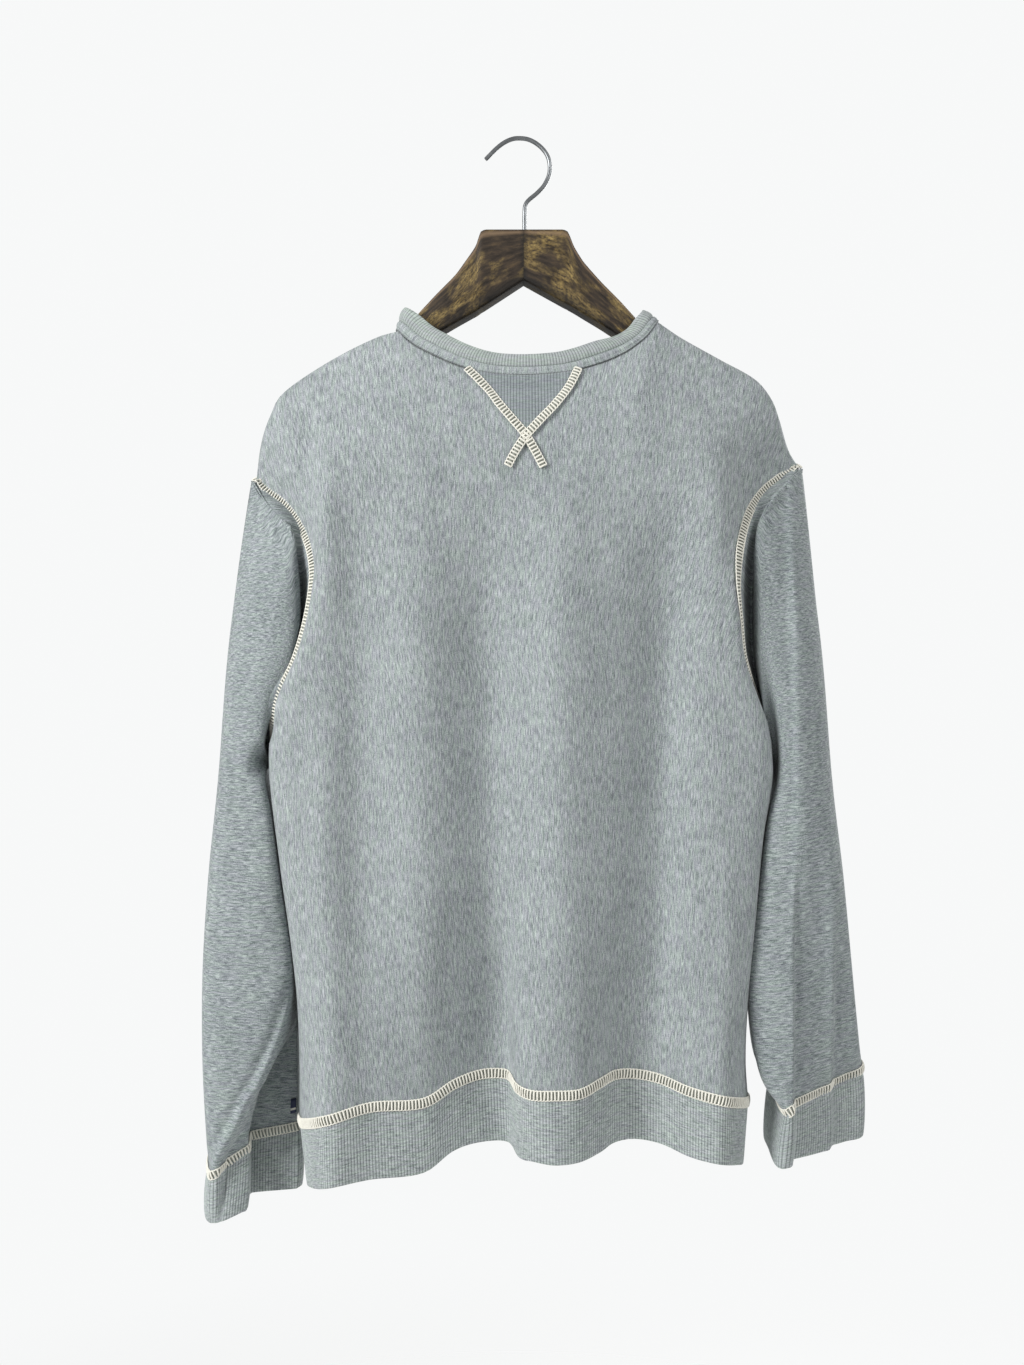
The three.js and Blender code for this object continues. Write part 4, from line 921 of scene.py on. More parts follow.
def stitch_tree(name, with_sides):
    tree = bpy.data.node_groups.new(name, "GeometryNodeTree")
    tree.interface.new_socket("Geometry", in_out="INPUT", socket_type="NodeSocketGeometry")
    for label in STITCH_SIZES:
        tree.interface.new_socket(label, in_out="INPUT", socket_type="NodeSocketFloat")
    tree.interface.new_socket("Seed", in_out="INPUT", socket_type="NodeSocketInt")
    tree.interface.new_socket("Material", in_out="INPUT", socket_type="NodeSocketMaterial")
    tree.interface.new_socket("Geometry", in_out="OUTPUT", socket_type="NodeSocketGeometry")
    given = add(tree, "NodeGroupInput").outputs
    across = add(tree, "GeometryNodeInputNamedAttribute", {"data_type": "FLOAT_VECTOR"},
                 {"Name": "across"}).outputs["Attribute"]
    outward = add(tree, "GeometryNodeInputNamedAttribute", {"data_type": "FLOAT_VECTOR"},
                  {"Name": "outward"}).outputs["Attribute"]
    path = add(tree, "GeometryNodeMeshToCurve", inputs={"Mesh": given["Geometry"]}).outputs[0]
    steps = add(tree, "GeometryNodeResampleCurve", {"mode": "LENGTH"},
                {"Curve": path, "Length": given["Pitch"]}).outputs[0]

    half = add(tree, "ShaderNodeMath", {"operation": "MULTIPLY"}, {0: given["Width"], 1: 0.5})
    minus_half = add(tree, "ShaderNodeMath", {"operation": "MULTIPLY"},
                     {0: given["Width"], 1: -0.5})
    arch_top = add(tree, "ShaderNodeMath", {"operation": "MULTIPLY"}, {0: given["Rise"], 1: 2.0})
    start = add(tree, "ShaderNodeCombineXYZ", inputs={"X": minus_half.outputs[0]}).outputs[0]
    crown = add(tree, "ShaderNodeCombineXYZ", inputs={"Z": arch_top.outputs[0]}).outputs[0]
    end = add(tree, "ShaderNodeCombineXYZ", inputs={"X": half.outputs[0]}).outputs[0]
    arch = add(tree, "GeometryNodeCurveQuadraticBezier",
               inputs={"Resolution": 5, "Start": start, "Middle": crown, "End": end}).outputs[0]
    radius = add(tree, "ShaderNodeMath", {"operation": "MULTIPLY"}, {0: given["Thread"], 1: 0.5})
    ring = add(tree, "GeometryNodeCurvePrimitiveCircle", {"mode": "RADIUS"},
               {"Resolution": 6, "Radius": radius.outputs[0]}).outputs[0]
    rung = add(tree, "GeometryNodeCurveToMesh",
               inputs={"Curve": arch, "Profile Curve": ring, "Fill Caps": True}).outputs[0]

    facing = add(tree, "FunctionNodeAxesToRotation", {"primary_axis": "Z", "secondary_axis": "X"},
                 {0: outward, 1: across}).outputs[0]
    most = given["Unevenness"]
    least = add(tree, "ShaderNodeMath", {"operation": "MULTIPLY"}, {0: most, 1: -1.0}).outputs[0]
    turn = add(tree, "FunctionNodeRandomValue", {"data_type": "FLOAT"},
               {2: least, 3: most, "Seed": given["Seed"]}).outputs[1]
    turn_by = add(tree, "ShaderNodeCombineXYZ", inputs={"Z": turn}).outputs[0]
    turn_rotation = add(tree, "FunctionNodeEulerToRotation", inputs={0: turn_by}).outputs[0]
    turned = add(tree, "FunctionNodeRotateRotation", {"rotation_space": "LOCAL"},
                 {0: facing, 1: turn_rotation}).outputs[0]
    laid = add(tree, "GeometryNodeInstanceOnPoints",
               inputs={"Points": steps, "Instance": rung, "Rotation": turned}).outputs[0]

    parts = [laid]
    if with_sides:
        quarter = add(tree, "ShaderNodeMath", {"operation": "MULTIPLY"},
                      {0: given["Pitch"], 1: 0.25}).outputs[0]
        fine = add(tree, "GeometryNodeResampleCurve", {"mode": "LENGTH"},
                   {"Curve": path, "Length": quarter}).outputs[0]
        index = add(tree, "GeometryNodeInputIndex").outputs[0]
        phase = add(tree, "ShaderNodeMath", {"operation": "MULTIPLY"},
                    {0: index, 1: math.pi / 2}).outputs[0]
        wave = add(tree, "ShaderNodeMath", {"operation": "SINE"}, {0: phase}).outputs[0]
        scallop = add(tree, "ShaderNodeMath", {"operation": "MULTIPLY"},
                      {0: wave, 1: SCALLOP}).outputs[0]
        side_radius = add(tree, "ShaderNodeMath", {"operation": "MULTIPLY"},
                          {0: given["Side thread"], 1: 0.5}).outputs[0]
        side_ring = add(tree, "GeometryNodeCurvePrimitiveCircle", {"mode": "RADIUS"},
                        {"Resolution": 5, "Radius": side_radius}).outputs[0]
        for side in (half, minus_half):
            reach = add(tree, "ShaderNodeMath", {"operation": "ADD"},
                        {0: side.outputs[0], 1: scallop}).outputs[0]
            shift = add(tree, "ShaderNodeVectorMath", {"operation": "SCALE"},
                        {0: across, "Scale": reach}).outputs[0]
            moved = add(tree, "GeometryNodeSetPosition",
                        inputs={"Geometry": fine, "Offset": shift}).outputs[0]
            parts.append(add(tree, "GeometryNodeCurveToMesh",
                             inputs={"Curve": moved, "Profile Curve": side_ring,
                                     "Fill Caps": True}).outputs[0])
    joined = add(tree, "GeometryNodeJoinGeometry")
    for part in parts:
        tree.links.new(part, joined.inputs[0])
    real = add(tree, "GeometryNodeRealizeInstances", inputs={0: joined.outputs[0]}).outputs[0]
    smooth_shaded = add(tree, "GeometryNodeSetShadeSmooth", inputs={0: real}).outputs[0]
    finished = add(tree, "GeometryNodeSetMaterial",
                   inputs={"Geometry": smooth_shaded, "Material": given["Material"]}).outputs[0]
    add(tree, "NodeGroupOutput", inputs={0: finished})
    return tree


LADDER = stitch_tree("ladder_stitch", True)
ROW = stitch_tree("row_of_stitches", False)
print("stitch trees:", LADDER.name, ROW.name)

# %% [markdown]
# A guide is the path itself. It is made once for each band, the tree runs on it, and the
# result becomes a plain mesh, so nothing live is left in the scene. Under each band lies a thin
# grey sheet: painted shade for the cloth between the rungs.


# %% Laying a band of stitches
SHADE_SHEET_LIFT = 0.15
SHADE_SHEET_THICK = 0.3


def stitches(name, tree, points, across, outward, closed, material, seed, sizes=None):
    mesh = bpy.data.meshes.new(name + "_guide")
    count = len(points)
    edges = [(k, (k + 1) % count) for k in range(count if closed else count - 1)]
    mesh.from_pydata((points * MM).tolist(), edges, [])
    for label, vectors in (("across", across), ("outward", outward)):
        attribute = mesh.attributes.new(label, "FLOAT_VECTOR", "POINT")
        attribute.data.foreach_set("vector", np.asarray(vectors, np.float32).ravel())
    guide = bpy.data.objects.new(name + "_guide", mesh)
    bpy.context.collection.objects.link(guide)
    modifier = guide.modifiers.new("stitches", "NODES")
    values = dict(STITCH_SIZES)
    values.update(sizes or {})
    values["Seed"] = seed
    values["Material"] = material
    modifier.node_group = tree
    for socket in tree.interface.items_tree:
        if socket.in_out == "INPUT" and socket.name in values:
            modifier[socket.identifier] = values[socket.name]
    graph = bpy.context.evaluated_depsgraph_get()
    made = bpy.data.objects.new(name, bpy.data.meshes.new_from_object(guide.evaluated_get(graph)))
    bpy.context.collection.objects.link(made)
    bpy.data.objects.remove(guide)
    return made


# A thin grey sheet laid under a band: painted shade between its rungs.
def lay_shade_sheet(name, points, across, outward, width, closed, material):
    sides = [
        points + across * width / 2 + outward * SHADE_SHEET_LIFT,
        points - across * width / 2 + outward * SHADE_SHEET_LIFT,
        points - across * width / 2 + outward * (SHADE_SHEET_LIFT - SHADE_SHEET_THICK),
        points + across * width / 2 + outward * (SHADE_SHEET_LIFT - SHADE_SHEET_THICK),
    ]
    profile = np.array(sides)
    along = np.concatenate([[0], np.cumsum(np.linalg.norm(np.diff(points, axis=0), axis=1))])
    u = np.append(along, along[-1] + 1)
    uv = np.stack(np.meshgrid(u, [0, width, width, 0]), -1) * MM
    made = shell(name, profile, uv, loop=closed)
    made.data.materials.append(material)
    return made


print("stitches are laid by", LADDER.name, "and", ROW.name)

# %% [markdown]
# Colours are given as they look on a screen and turned to linear light by one function. Every
# finish below starts from what the real material is.


# %% Colours and a start for every material
def colour(hex_value):
    parts = [int(hex_value[k:k + 2], 16) / 255 for k in (1, 3, 5)]
    linear = [p / 12.92 if p <= 0.04045 else ((p + 0.055) / 1.055) ** 2.4 for p in parts]
    return (*linear, 1.0)


def new_material(name):
    material = bpy.data.materials.new(name)
    material.use_nodes = True
    tree = material.node_tree
    tree.nodes.clear()
    surface = add(tree, "ShaderNodeBsdfPrincipled")
    output = add(tree, "ShaderNodeOutputMaterial")
    tree.links.new(surface.outputs[0], output.inputs["Surface"])
    return material, tree, surface


def stretched_noise(tree, source, width, length, detail, roughness, shift, distortion=0.0):
    """Noise whose grain is width by length metres."""
    mapped = add(tree, "ShaderNodeMapping", inputs={
        "Vector": source, "Location": (shift, shift * 0.7, 0),
        "Scale": (1 / width, 1 / length, 1)}).outputs[0]
    return add(tree, "ShaderNodeTexNoise", {"noise_dimensions": "2D"}, {
        "Vector": mapped, "Scale": 1.0, "Detail": detail, "Roughness": roughness,
        "Distortion": distortion}).outputs[0]


def blend(tree, factor, a, b, mode="MIX"):
    made = add(tree, "ShaderNodeMix", {"data_type": "RGBA", "blend_type": mode},
               {0: factor, 6: a, 7: b})
    return made.outputs[2]


def ramp(tree, factor, stops):
    made = add(tree, "ShaderNodeValToRGB", inputs={"Fac": factor})
    elements = made.color_ramp.elements
    while len(elements) < len(stops):
        elements.new(0.5)
    for element, (place, value) in zip(elements, stops):
        element.position = place
        element.color = value
    return made.outputs["Color"]


GREY = {level: (level, level, level, 1) for level in (0, 0.35, 0.5, 0.65, 1)}
print("cream thread in linear light:", [round(c, 2) for c in colour("#E9E6D7")])

# %% [markdown]
# Heather fleece is spun from dark and pale fibres together. The eye sees short streaks that run
# with the yarn, a grain finer than they are, and faint cloudy patches that are a little bluer
# or greener. The cloth is matt, and its loose fibres catch light at the edges. The streaks are
# drawn a little wider than the real yarn, so that they show from a metre away. Ribbing is
# calmer, because its wales hide most of the streaks.

# %% Heather fleece and heather ribbing
STREAK_WIDTH = 0.0008             # metres, as are the other sizes here
STREAK_LENGTH = 0.0065
ROUND_LENGTH = 0.9                # streaks that run round a piece are this much shorter
ROUND_WIDTH = 1.15                # and this much wider
GRAIN_SIZE = 0.0009
CLOUD_WIDTH = 0.03
CLOUD_HEIGHT = 0.05
FINE_WEIGHT = 0.95
BROAD_WEIGHT = 0.4
GRAIN_WEIGHT = 0.6
CLOUD_WEIGHT = 0.15


def weigh(tree, parts):
    """Adds patterns that vary about one half, each with its own weight."""
    total = None
    for source, weight in parts:
        term = add(tree, "ShaderNodeMath", {"operation": "MULTIPLY_ADD"},
                   {0: source, 1: weight, 2: 0.5 - weight / 2 if total is None else -weight / 2})
        if total is not None:
            tree.links.new(total, term.inputs[2])
            term = add(tree, "ShaderNodeMath", {"operation": "SUBTRACT"},
                       {0: term.outputs[0], 1: weight / 2})
        total = term.outputs[0]
    return total


def painted_edge_shadow(tree, uv, base):
    """Painted shade: the strip's two edges, where they dip into their rows of stitches, are
    darkened.
    """
    height = add(tree, "ShaderNodeSeparateXYZ", inputs={0: uv}).outputs["Y"]
    share = add(tree, "ShaderNodeMath", {"operation": "DIVIDE"},
                {0: height, 1: BINDING_HEIGHT * MM}).outputs[0]
    shade = ramp(tree, share, [(0.12, GREY[0.35]), (0.34, GREY[1]), (0.86, GREY[1]),
                               (0.98, GREY[0.35])])
    return blend(tree, 1.0, base, shade, "MULTIPLY")


def heather(name, along, dark, middle, light, calm=1.0, ribbed=False, painted_edges=False):
    material, tree, surface = new_material(name)
    uv = add(tree, "ShaderNodeTexCoord").outputs["UV"]
    width, length = STREAK_WIDTH, STREAK_LENGTH
    if along == "round":
        width, length = STREAK_LENGTH * ROUND_LENGTH, STREAK_WIDTH * ROUND_WIDTH
    fine = stretched_noise(tree, uv, width, length, 1.0, 0.5, 0.0, 0.5)
    broad = stretched_noise(tree, uv, width * 2, length * 2, 1.0, 0.5, 3.1, 0.4)
    grain = stretched_noise(tree, uv, GRAIN_SIZE, GRAIN_SIZE, 1.0, 0.5, 1.9)
    cloud = stretched_noise(tree, uv, CLOUD_WIDTH, CLOUD_HEIGHT, 2.0, 0.5, 7.7)
    tint = stretched_noise(tree, uv, width * 4, length * 2, 2.0, 0.6, 11.3)
    mottle = weigh(tree, [(fine, FINE_WEIGHT * calm), (broad, BROAD_WEIGHT * calm),
                          (grain, GRAIN_WEIGHT * calm), (cloud, CLOUD_WEIGHT)])
    base = ramp(tree, mottle, [(0.18, colour(dark)), (0.52, colour(middle)),
                               (0.85, colour(light))])
    cool = blend(tree, 1.0, base, colour("#FAF9FF"), "MULTIPLY")
    green = blend(tree, 1.0, base, colour("#F8FFFA"), "MULTIPLY")
    base = blend(tree, ramp(tree, tint, [(0.4, GREY[0]), (0.6, GREY[1])]), cool, green)
    if ribbed:
        # Painted shade: the grooves between the ribs are darkened in the colour.
        place = add(tree, "ShaderNodeSeparateXYZ", inputs={0: uv}).outputs["X"]
        angle = add(tree, "ShaderNodeMath", {"operation": "MULTIPLY"},
                    {0: place, 1: math.pi / (RIB_PITCH * MM)}).outputs[0]
        wave = add(tree, "ShaderNodeMath", {"operation": "SINE"}, {0: angle}).outputs[0]
        rise = add(tree, "ShaderNodeMath", {"operation": "ABSOLUTE"}, {0: wave}).outputs[0]
        groove = ramp(tree, rise, [(0.1, GREY[0.5]), (0.75, GREY[1])])
        base = blend(tree, 1.0, base, groove, "MULTIPLY")
    # Painted shade along the two edges of the neck's binding
    if painted_edges:
        base = painted_edge_shadow(tree, uv, base)
    tree.links.new(base, surface.inputs["Base Color"])
    bump = add(tree, "ShaderNodeBump", inputs={
        "Strength": 0.5, "Distance": 0.0005, "Height": mottle}).outputs[0]
    tree.links.new(bump, surface.inputs["Normal"])
    surface.inputs["Roughness"].default_value = 0.95
    surface.inputs["Specular IOR Level"].default_value = 0.2
    surface.inputs["Sheen Weight"].default_value = 0.2
    surface.inputs["Sheen Roughness"].default_value = 0.5
    return material


body_fleece = heather("heather_fleece_body", "down", "#6D7375", "#9CA1A2", "#C4C9C8")
# The sleeves are the same fleece as the body, drawn darker: painted shade.
sleeve_fleece_painted_shade = heather("heather_fleece_sleeves_painted_shade", "round", "#646B6D", "#93999A", "#BCC2C1")
ribbing = heather("heather_ribbing", "round", "#787E7F", "#ADB3B2", "#D0D5D2", 0.8, ribbed=True)
neck_ribbing = heather("heather_ribbing_neck", "round", "#7C8281", "#ADB3B0", "#CED3CF", 0.35,
                       ribbed=True)
# The triangle's ribbing is darker and bluer than the other ribbing: partly painted shade under the
# neckband, partly its own tone.
shaded_ribbing = heather("heather_ribbing_triangle_painted_shade", "round", "#666C70", "#93999B", "#B2B7B8",
                         0.4, ribbed=True)
binding_fleece = heather("heather_binding", "down", "#757B7D", "#A3A8A8", "#C4C9C8", painted_edges=True)
for piece in (back_panel, front_panel):
    piece.data.materials.append(body_fleece)
for piece in (sleeve_left, sleeve_right):
    piece.data.materials.append(sleeve_fleece_painted_shade)
for piece in (hem, cuff_left, cuff_right):
    piece.data.materials.append(ribbing)
neck_rib.data.materials.append(neck_ribbing)
v_insert.data.materials.append(shaded_ribbing)
neck_binding.data.materials.append(binding_fleece)
print("heather finishes:", body_fleece.name, sleeve_fleece_painted_shade.name, ribbing.name)

# %% [markdown]
# The seams are sewn with undyed cotton thread, which is cream and matt. Between the rungs the
# cloth lies in their shade, and that shade is painted on a grey sheet laid under each band.


# %% Threads
TWIST_SCALE = 900.0               # about one twist of the thread in each millimetre


def thread(name, shade, dip):
    material, tree, surface = new_material(name)
    place = add(tree, "ShaderNodeTexCoord").outputs["Object"]
    twist = add(tree, "ShaderNodeTexNoise", inputs={
        "Vector": place, "Scale": TWIST_SCALE, "Detail": 2.0}).outputs[0]
    base = blend(tree, twist, colour(shade), colour(dip))
    tree.links.new(base, surface.inputs["Base Color"])
    bump = add(tree, "ShaderNodeBump", inputs={
        "Strength": 0.4, "Distance": 0.0002, "Height": twist}).outputs[0]
    tree.links.new(bump, surface.inputs["Normal"])
    surface.inputs["Roughness"].default_value = 0.8
    surface.inputs["Sheen Weight"].default_value = 0.2
    return material


cream_thread = thread("undyed_cotton_thread", "#F4F2E8", "#DDDACD")
grey_thread = thread("grey_cotton_thread", "#A9B3B0", "#8A9593")
# Painted shade: the grey sheet under each band stands for the shade between the rungs.
painted_shade_under_stitches = thread("painted_shade_under_stitches", "#A3A69D", "#878C84")
print("threads:", cream_thread.name, grey_thread.name)

# %% [markdown]
# The bands go round each armhole, round the hem and the cuffs, and down both sides of the
# triangle, where they cross and run on a little. High on the armhole the band lies flat to the
# viewer, and lower down it turns with the cloth, on the right until only its edge shows.


# %% The cream bands
TURNS_FROM = 0.36                 # shares of the armhole between which the band turns sideways
TURNS_OVER = 0.25
END_TURN = 8                      # it faces up, and below sideways, over an eighth at each end
# How far the stitches and the painted shade sheet lie above the cloth, and the sheet's width
ARMHOLE_LIFTS = (0.9, 0.4, 6.4)
RING_LIFTS = (0.8, 0.3)
RING_SHADE_SHEET_NARROWER = 0.6
FLAT_LIFTS = (0.5, 0.1, 5.4)
FLAT_SIZES = {"Width": 6.0 * MM, "Pitch": 2.9 * MM}
FLAT_STATIONS = 90


def ring_guide(points, normals):
    way = unit(np.roll(points, -1, axis=0) - np.roll(points, 1, axis=0))
    outward = unit(normals - way * np.sum(normals * way, axis=1, keepdims=True))
    return unit(np.cross(way, outward)), outward


def armhole_band(name, loop, side, upper, lower, seed):
    count = len(loop)
    k = np.arange(count)
    share = np.minimum(k, count - k) / ARMHOLE_ROWS
    ends = ease(share * END_TURN)
    forwards = ends * ease((1 - share) * END_TURN) * np.where(k <= ARMHOLE_ROWS, -1, 1)
    sideways = side * mix(upper, lower, ease((share - TURNS_FROM) / TURNS_OVER))
    facing = unit(np.column_stack([sideways, forwards, 1 - ends]))
    across, outward = ring_guide(loop, facing)
    lift, shade_sheet_lift, shade_sheet_width = ARMHOLE_LIFTS
    made = stitches(name, LADDER, loop + outward * lift, across, outward, True, cream_thread,
                    seed)
    shade_sheet = lay_shade_sheet(name + "_shade_sheet", loop + outward * shade_sheet_lift, across, outward, shade_sheet_width, True,
               painted_shade_under_stitches)
    return [made, shade_sheet]


bands = []
bands += armhole_band("armhole_left_stitching", left_loop, -1, 0.45, 0.8, 3)
bands += armhole_band("armhole_right_stitching", right_loop, 1, 0.45, 2.6, 5)


def ring_band(name, points, normals, width, seed):
    across, outward = ring_guide(points, normals)
    lift, shade_sheet_lift = RING_LIFTS
    made = stitches(name, LADDER, points + outward * lift, across, outward, True, cream_thread,
                    seed, {"Width": width * MM})
    shade_sheet = lay_shade_sheet(name + "_shade_sheet", points + outward * shade_sheet_lift, across, outward,
               width - RING_SHADE_SHEET_NARROWER, True, painted_shade_under_stitches)
    return [made, shade_sheet]


bands += ring_band("hem_stitching", hem_seam, hem_normals, 7.6, 7)
bands += ring_band("cuff_left_stitching", left_grid[-1], normals_of(left_grid, True)[-1], 7.2, 11)
bands += ring_band("cuff_right_stitching", right_grid[-1],
                   normals_of(right_grid, True, True)[-1], 7.2, 13)

V_BAND_LEFT = V_LEFT[:-1] + [[6.7, -260], [13.2, -270.6], [21.3, -285.9]]
V_BAND_RIGHT = V_RIGHT[:-1] + [[6.7, -262.5], [-1.4, -274.6], [-7, -285.1]]


def flat_band(name, table, lift, seed):
    path = line([[x, 0, z] for x, z in table])(np.linspace(0, 1, FLAT_STATIONS))
    found = [on_near_panel(x, z) for x, _, z in path]
    outward = unit(np.array([normal for _, normal in found]))
    points = np.array([place for place, _ in found]) + outward * lift
    way = unit(np.gradient(points, axis=0))
    across = unit(np.cross(way, outward))
    above, shade_sheet_above, shade_sheet_width = FLAT_LIFTS
    made = stitches(name, LADDER, points + outward * above, across, outward, False, cream_thread,
                    seed, FLAT_SIZES)
    shade_sheet = lay_shade_sheet(name + "_shade_sheet", points + outward * shade_sheet_above, across, outward, shade_sheet_width, False,
               painted_shade_under_stitches)
    return [made, shade_sheet]


bands += flat_band("triangle_left_stitching", V_BAND_LEFT, 1.2, 17)
bands += flat_band("triangle_right_stitching", V_BAND_RIGHT, 1.7, 19)
print("bands of stitching:", len(bands) // 2)

# %% [markdown]
# The neckband is topstitched in grey: one row just under the ribbing and one in the groove near
# its lower edge. The stitches are short, and the dark gaps between them show more than the
# thread does.


# %% Topstitching on the neckband
TOPSTITCH_SIZES = {"Pitch": 0.0026, "Width": 0.0018, "Thread": 0.0006, "Rise": 0.0003,
                   "Unevenness": 0.05}


def neck_stitches(name, share, height, seed):
    points = neck_ring(share, height)
    way = unit(np.roll(points, -1, axis=0) - np.roll(points, 1, axis=0))
    outward = unit(neck_normals - way * np.sum(neck_normals * way, axis=1, keepdims=True))
    return stitches(name, ROW, points, way, outward, True, grey_thread, seed, TOPSTITCH_SIZES)


neck_rows = [
    neck_stitches("neck_upper_topstitching", 0.385, 0.95, 23),
    neck_stitches("neck_lower_topstitching", 0.13, 0.75, 29),
]
print("rows of topstitching:", len(neck_rows))

# %% [markdown]
# A small woven tab is sewn to the left sleeve just above the cuff, at its inner end, on the
# layer that lies behind the fold. It is plain navy ribbon with a pale stripe.

# %% Sleeve tab
TAB_COLUMNS = slice(75, 80)       # just before the underarm, which is column 80
TAB_ROWS = slice(-9, -4)          # counted up from the cuff
TAB_OUTSIDE = 1.3                 # millimetres above the sleeve
TAB_INSIDE = 0.4

tab_base = left_grid[TAB_ROWS, TAB_COLUMNS]
tab_way = normals_of(left_grid, True)[TAB_ROWS, TAB_COLUMNS]
tab_outer = tab_base + tab_way * TAB_OUTSIDE
tab_inner = tab_base + tab_way * TAB_INSIDE
tab_profile = np.concatenate([tab_outer, tab_inner[::-1]])
tab_u, tab_v = np.meshgrid(np.linspace(0, 1, tab_base.shape[1]),
                           np.linspace(0, 1, tab_base.shape[0]))
sleeve_tab = shell("sleeve_tab_ribbon", tab_profile,
                   uv_for(np.stack([tab_u, tab_v], -1), len(tab_profile)))
print("tab from", tab_outer.min((0, 1)).round(), "to", tab_outer.max((0, 1)).round())

# %% [markdown]
# The hanger is two carved arms that meet in the middle. Its section is a rounded bar that gets
# thinner towards the tips. Each arm is lofted through its table, with every corner of the
# section turned by a small arc. A row holds x, the upper and lower edge, and half the depth.
# The UV map follows the arm: u is the length along it in metres and v is the share of its
# height. Each arm starts at another place in the grain, so the two don't mirror each other.

# %% Wooden arms
ARM_LEFT = [
    [5.98, -78, -121, 10], [-30, -78, -144.5, 10], [-34, -92, -147, 10], [-51, -116, -156.5, 10],
    [-67, -132, -166, 10], [-83, -149, -177, 9.5], [-97, -170, -187, 9], [-116, -173, -194, 8],
    [-149, -189, -211, 8], [-180, -208.5, -227, 8],
]
ARM_RIGHT = [
    [6.02, -78, -121, 10], [43, -78, -141.5, 10], [48, -92, -144, 10], [56, -105, -149, 10],
    [71, -122, -158, 10], [87, -138, -168.5, 10], [99, -151, -178, 9.5],
    [112, -166.5, -188, 8.5], [138, -174, -199, 8], [172, -192.5, -215, 8],
    [196, -208, -226, 7.5],
]
WOOD_ROUND = 3.2
CORNER_STEPS = 5
ARM_STATIONS = 90
SOFTENING = np.array([1, 2, 3, 2, 1]) / 9
GRAIN_START_LEFT = 0.85
GRAIN_START_RIGHT = 0.3
SHARP = math.radians(50)          # a corner turned by more than this keeps its edge


def arm_section(x, top, low, half):
    points = []
    for corner_y, corner_z, turn in ((1, 1, 0), (-1, 1, 90), (-1, -1, 180), (1, -1, 270)):
        middle_y = corner_y * (half - WOOD_ROUND)
        middle_z = (top - WOOD_ROUND) if corner_z > 0 else (low + WOOD_ROUND)
        for step in range(CORNER_STEPS + 1):
            angle = math.radians(turn + 90 * step / CORNER_STEPS)
            points.append([x, middle_y + WOOD_ROUND * math.cos(angle),
                           middle_z + WOOD_ROUND * math.sin(angle)])
    return points


def wooden_arm(name, table, grain_start):
    rows = np.array(table, float)
    places = shares_along(rows[:, :3] * [1, 0.5, 0.5])
    at = np.linspace(0, 1, ARM_STATIONS)
    read = np.column_stack([np.interp(at, places, rows[:, k]) for k in range(4)])
    softened = read.copy()
    for k in (1, 2, 3):
        softened[2:-2, k] = np.convolve(read[:, k], SOFTENING, mode="valid")
    sections = np.array([arm_section(*row) for row in softened])
    sides = sections.shape[1]
    points = sections.reshape(-1, 3)
    faces = [[j * sides + k, j * sides + (k + 1) % sides,
              (j + 1) * sides + (k + 1) % sides, (j + 1) * sides + k]
             for j in range(ARM_STATIONS - 1) for k in range(sides)]
    mesh = bpy.data.meshes.new(name)
    last = (ARM_STATIONS - 1) * sides
    mesh.from_pydata((points * MM).tolist(), [],
                     faces + [list(range(sides))[::-1], [last + k for k in range(sides)]])
    if rows[1, 0] < rows[0, 0]:
        mesh.flip_normals()
    middle = np.column_stack([softened[:, 0], (softened[:, 1] + softened[:, 2]) / 2])
    along = np.concatenate([[0], np.cumsum(np.linalg.norm(np.diff(middle, axis=0), axis=1))])
    height = (sections[..., 2] - softened[:, 2:3]) / (softened[:, 1] - softened[:, 2])[:, None]
    grain_map = np.column_stack([np.repeat(grain_start + along * MM, sides), height.ravel()])
    corners = np.array([loop.vertex_index for loop in mesh.loops])
    layer = mesh.uv_layers.new(name="grain")
    layer.data.foreach_set("uv", grain_map[corners].astype(np.float32).ravel())
    mesh.shade_smooth()
    mesh.set_sharp_from_angle(angle=SHARP)
    made = bpy.data.objects.new(name, mesh)
    bpy.context.collection.objects.link(made)
    return made


arm_left = wooden_arm("hanger_left_wood", ARM_LEFT, GRAIN_START_LEFT)
arm_right = wooden_arm("hanger_right_wood", ARM_RIGHT, GRAIN_START_RIGHT)
print("faces in an arm:", len(arm_left.data.polygons))

# %% [markdown]
# The hook is drawn steel wire, bent into an open question mark. Its table holds the wire's
# middle line in the plane of the hanger.

# %% Wire hook
WIRE = 3.6
HOOK = [
    [7, -92], [7, -58], [9, -52], [18, -44], [24, -37], [28, -27], [27, -15], [21, -6],
    [11, 0.5], [0, 1.8], [-8, -0.5], [-16, -6], [-26, -16],
]
HOOK_STATIONS = 120
WIRE_SIDES = 14

hook_line = line([[x, 0, z] for x, z in HOOK])(np.linspace(0, 1, HOOK_STATIONS))
hook_way = unit(np.gradient(hook_line, axis=0))
hook_side = np.cross(hook_way, [0, 1, 0])
turns = np.linspace(0, 2 * math.pi, WIRE_SIDES, endpoint=False)
hook_round = (np.cos(turns)[None, :, None] * hook_side[:, None]
              + np.sin(turns)[None, :, None] * np.array([0, 1, 0]))
hook_points = hook_line[:, None] + hook_round * WIRE / 2
hook_faces = [[j * WIRE_SIDES + k, (j + 1) * WIRE_SIDES + k,
               (j + 1) * WIRE_SIDES + (k + 1) % WIRE_SIDES, j * WIRE_SIDES + (k + 1) % WIRE_SIDES]
              for j in range(HOOK_STATIONS - 1) for k in range(WIRE_SIDES)]
hook_end = (HOOK_STATIONS - 1) * WIRE_SIDES
hook_faces += [list(range(WIRE_SIDES)), [hook_end + k for k in range(WIRE_SIDES)][::-1]]
hook_mesh = bpy.data.meshes.new("hanger_hook_wire")
hook_mesh.from_pydata((hook_points.reshape(-1, 3) * MM).tolist(), [], hook_faces)
hook_mesh.shade_smooth()
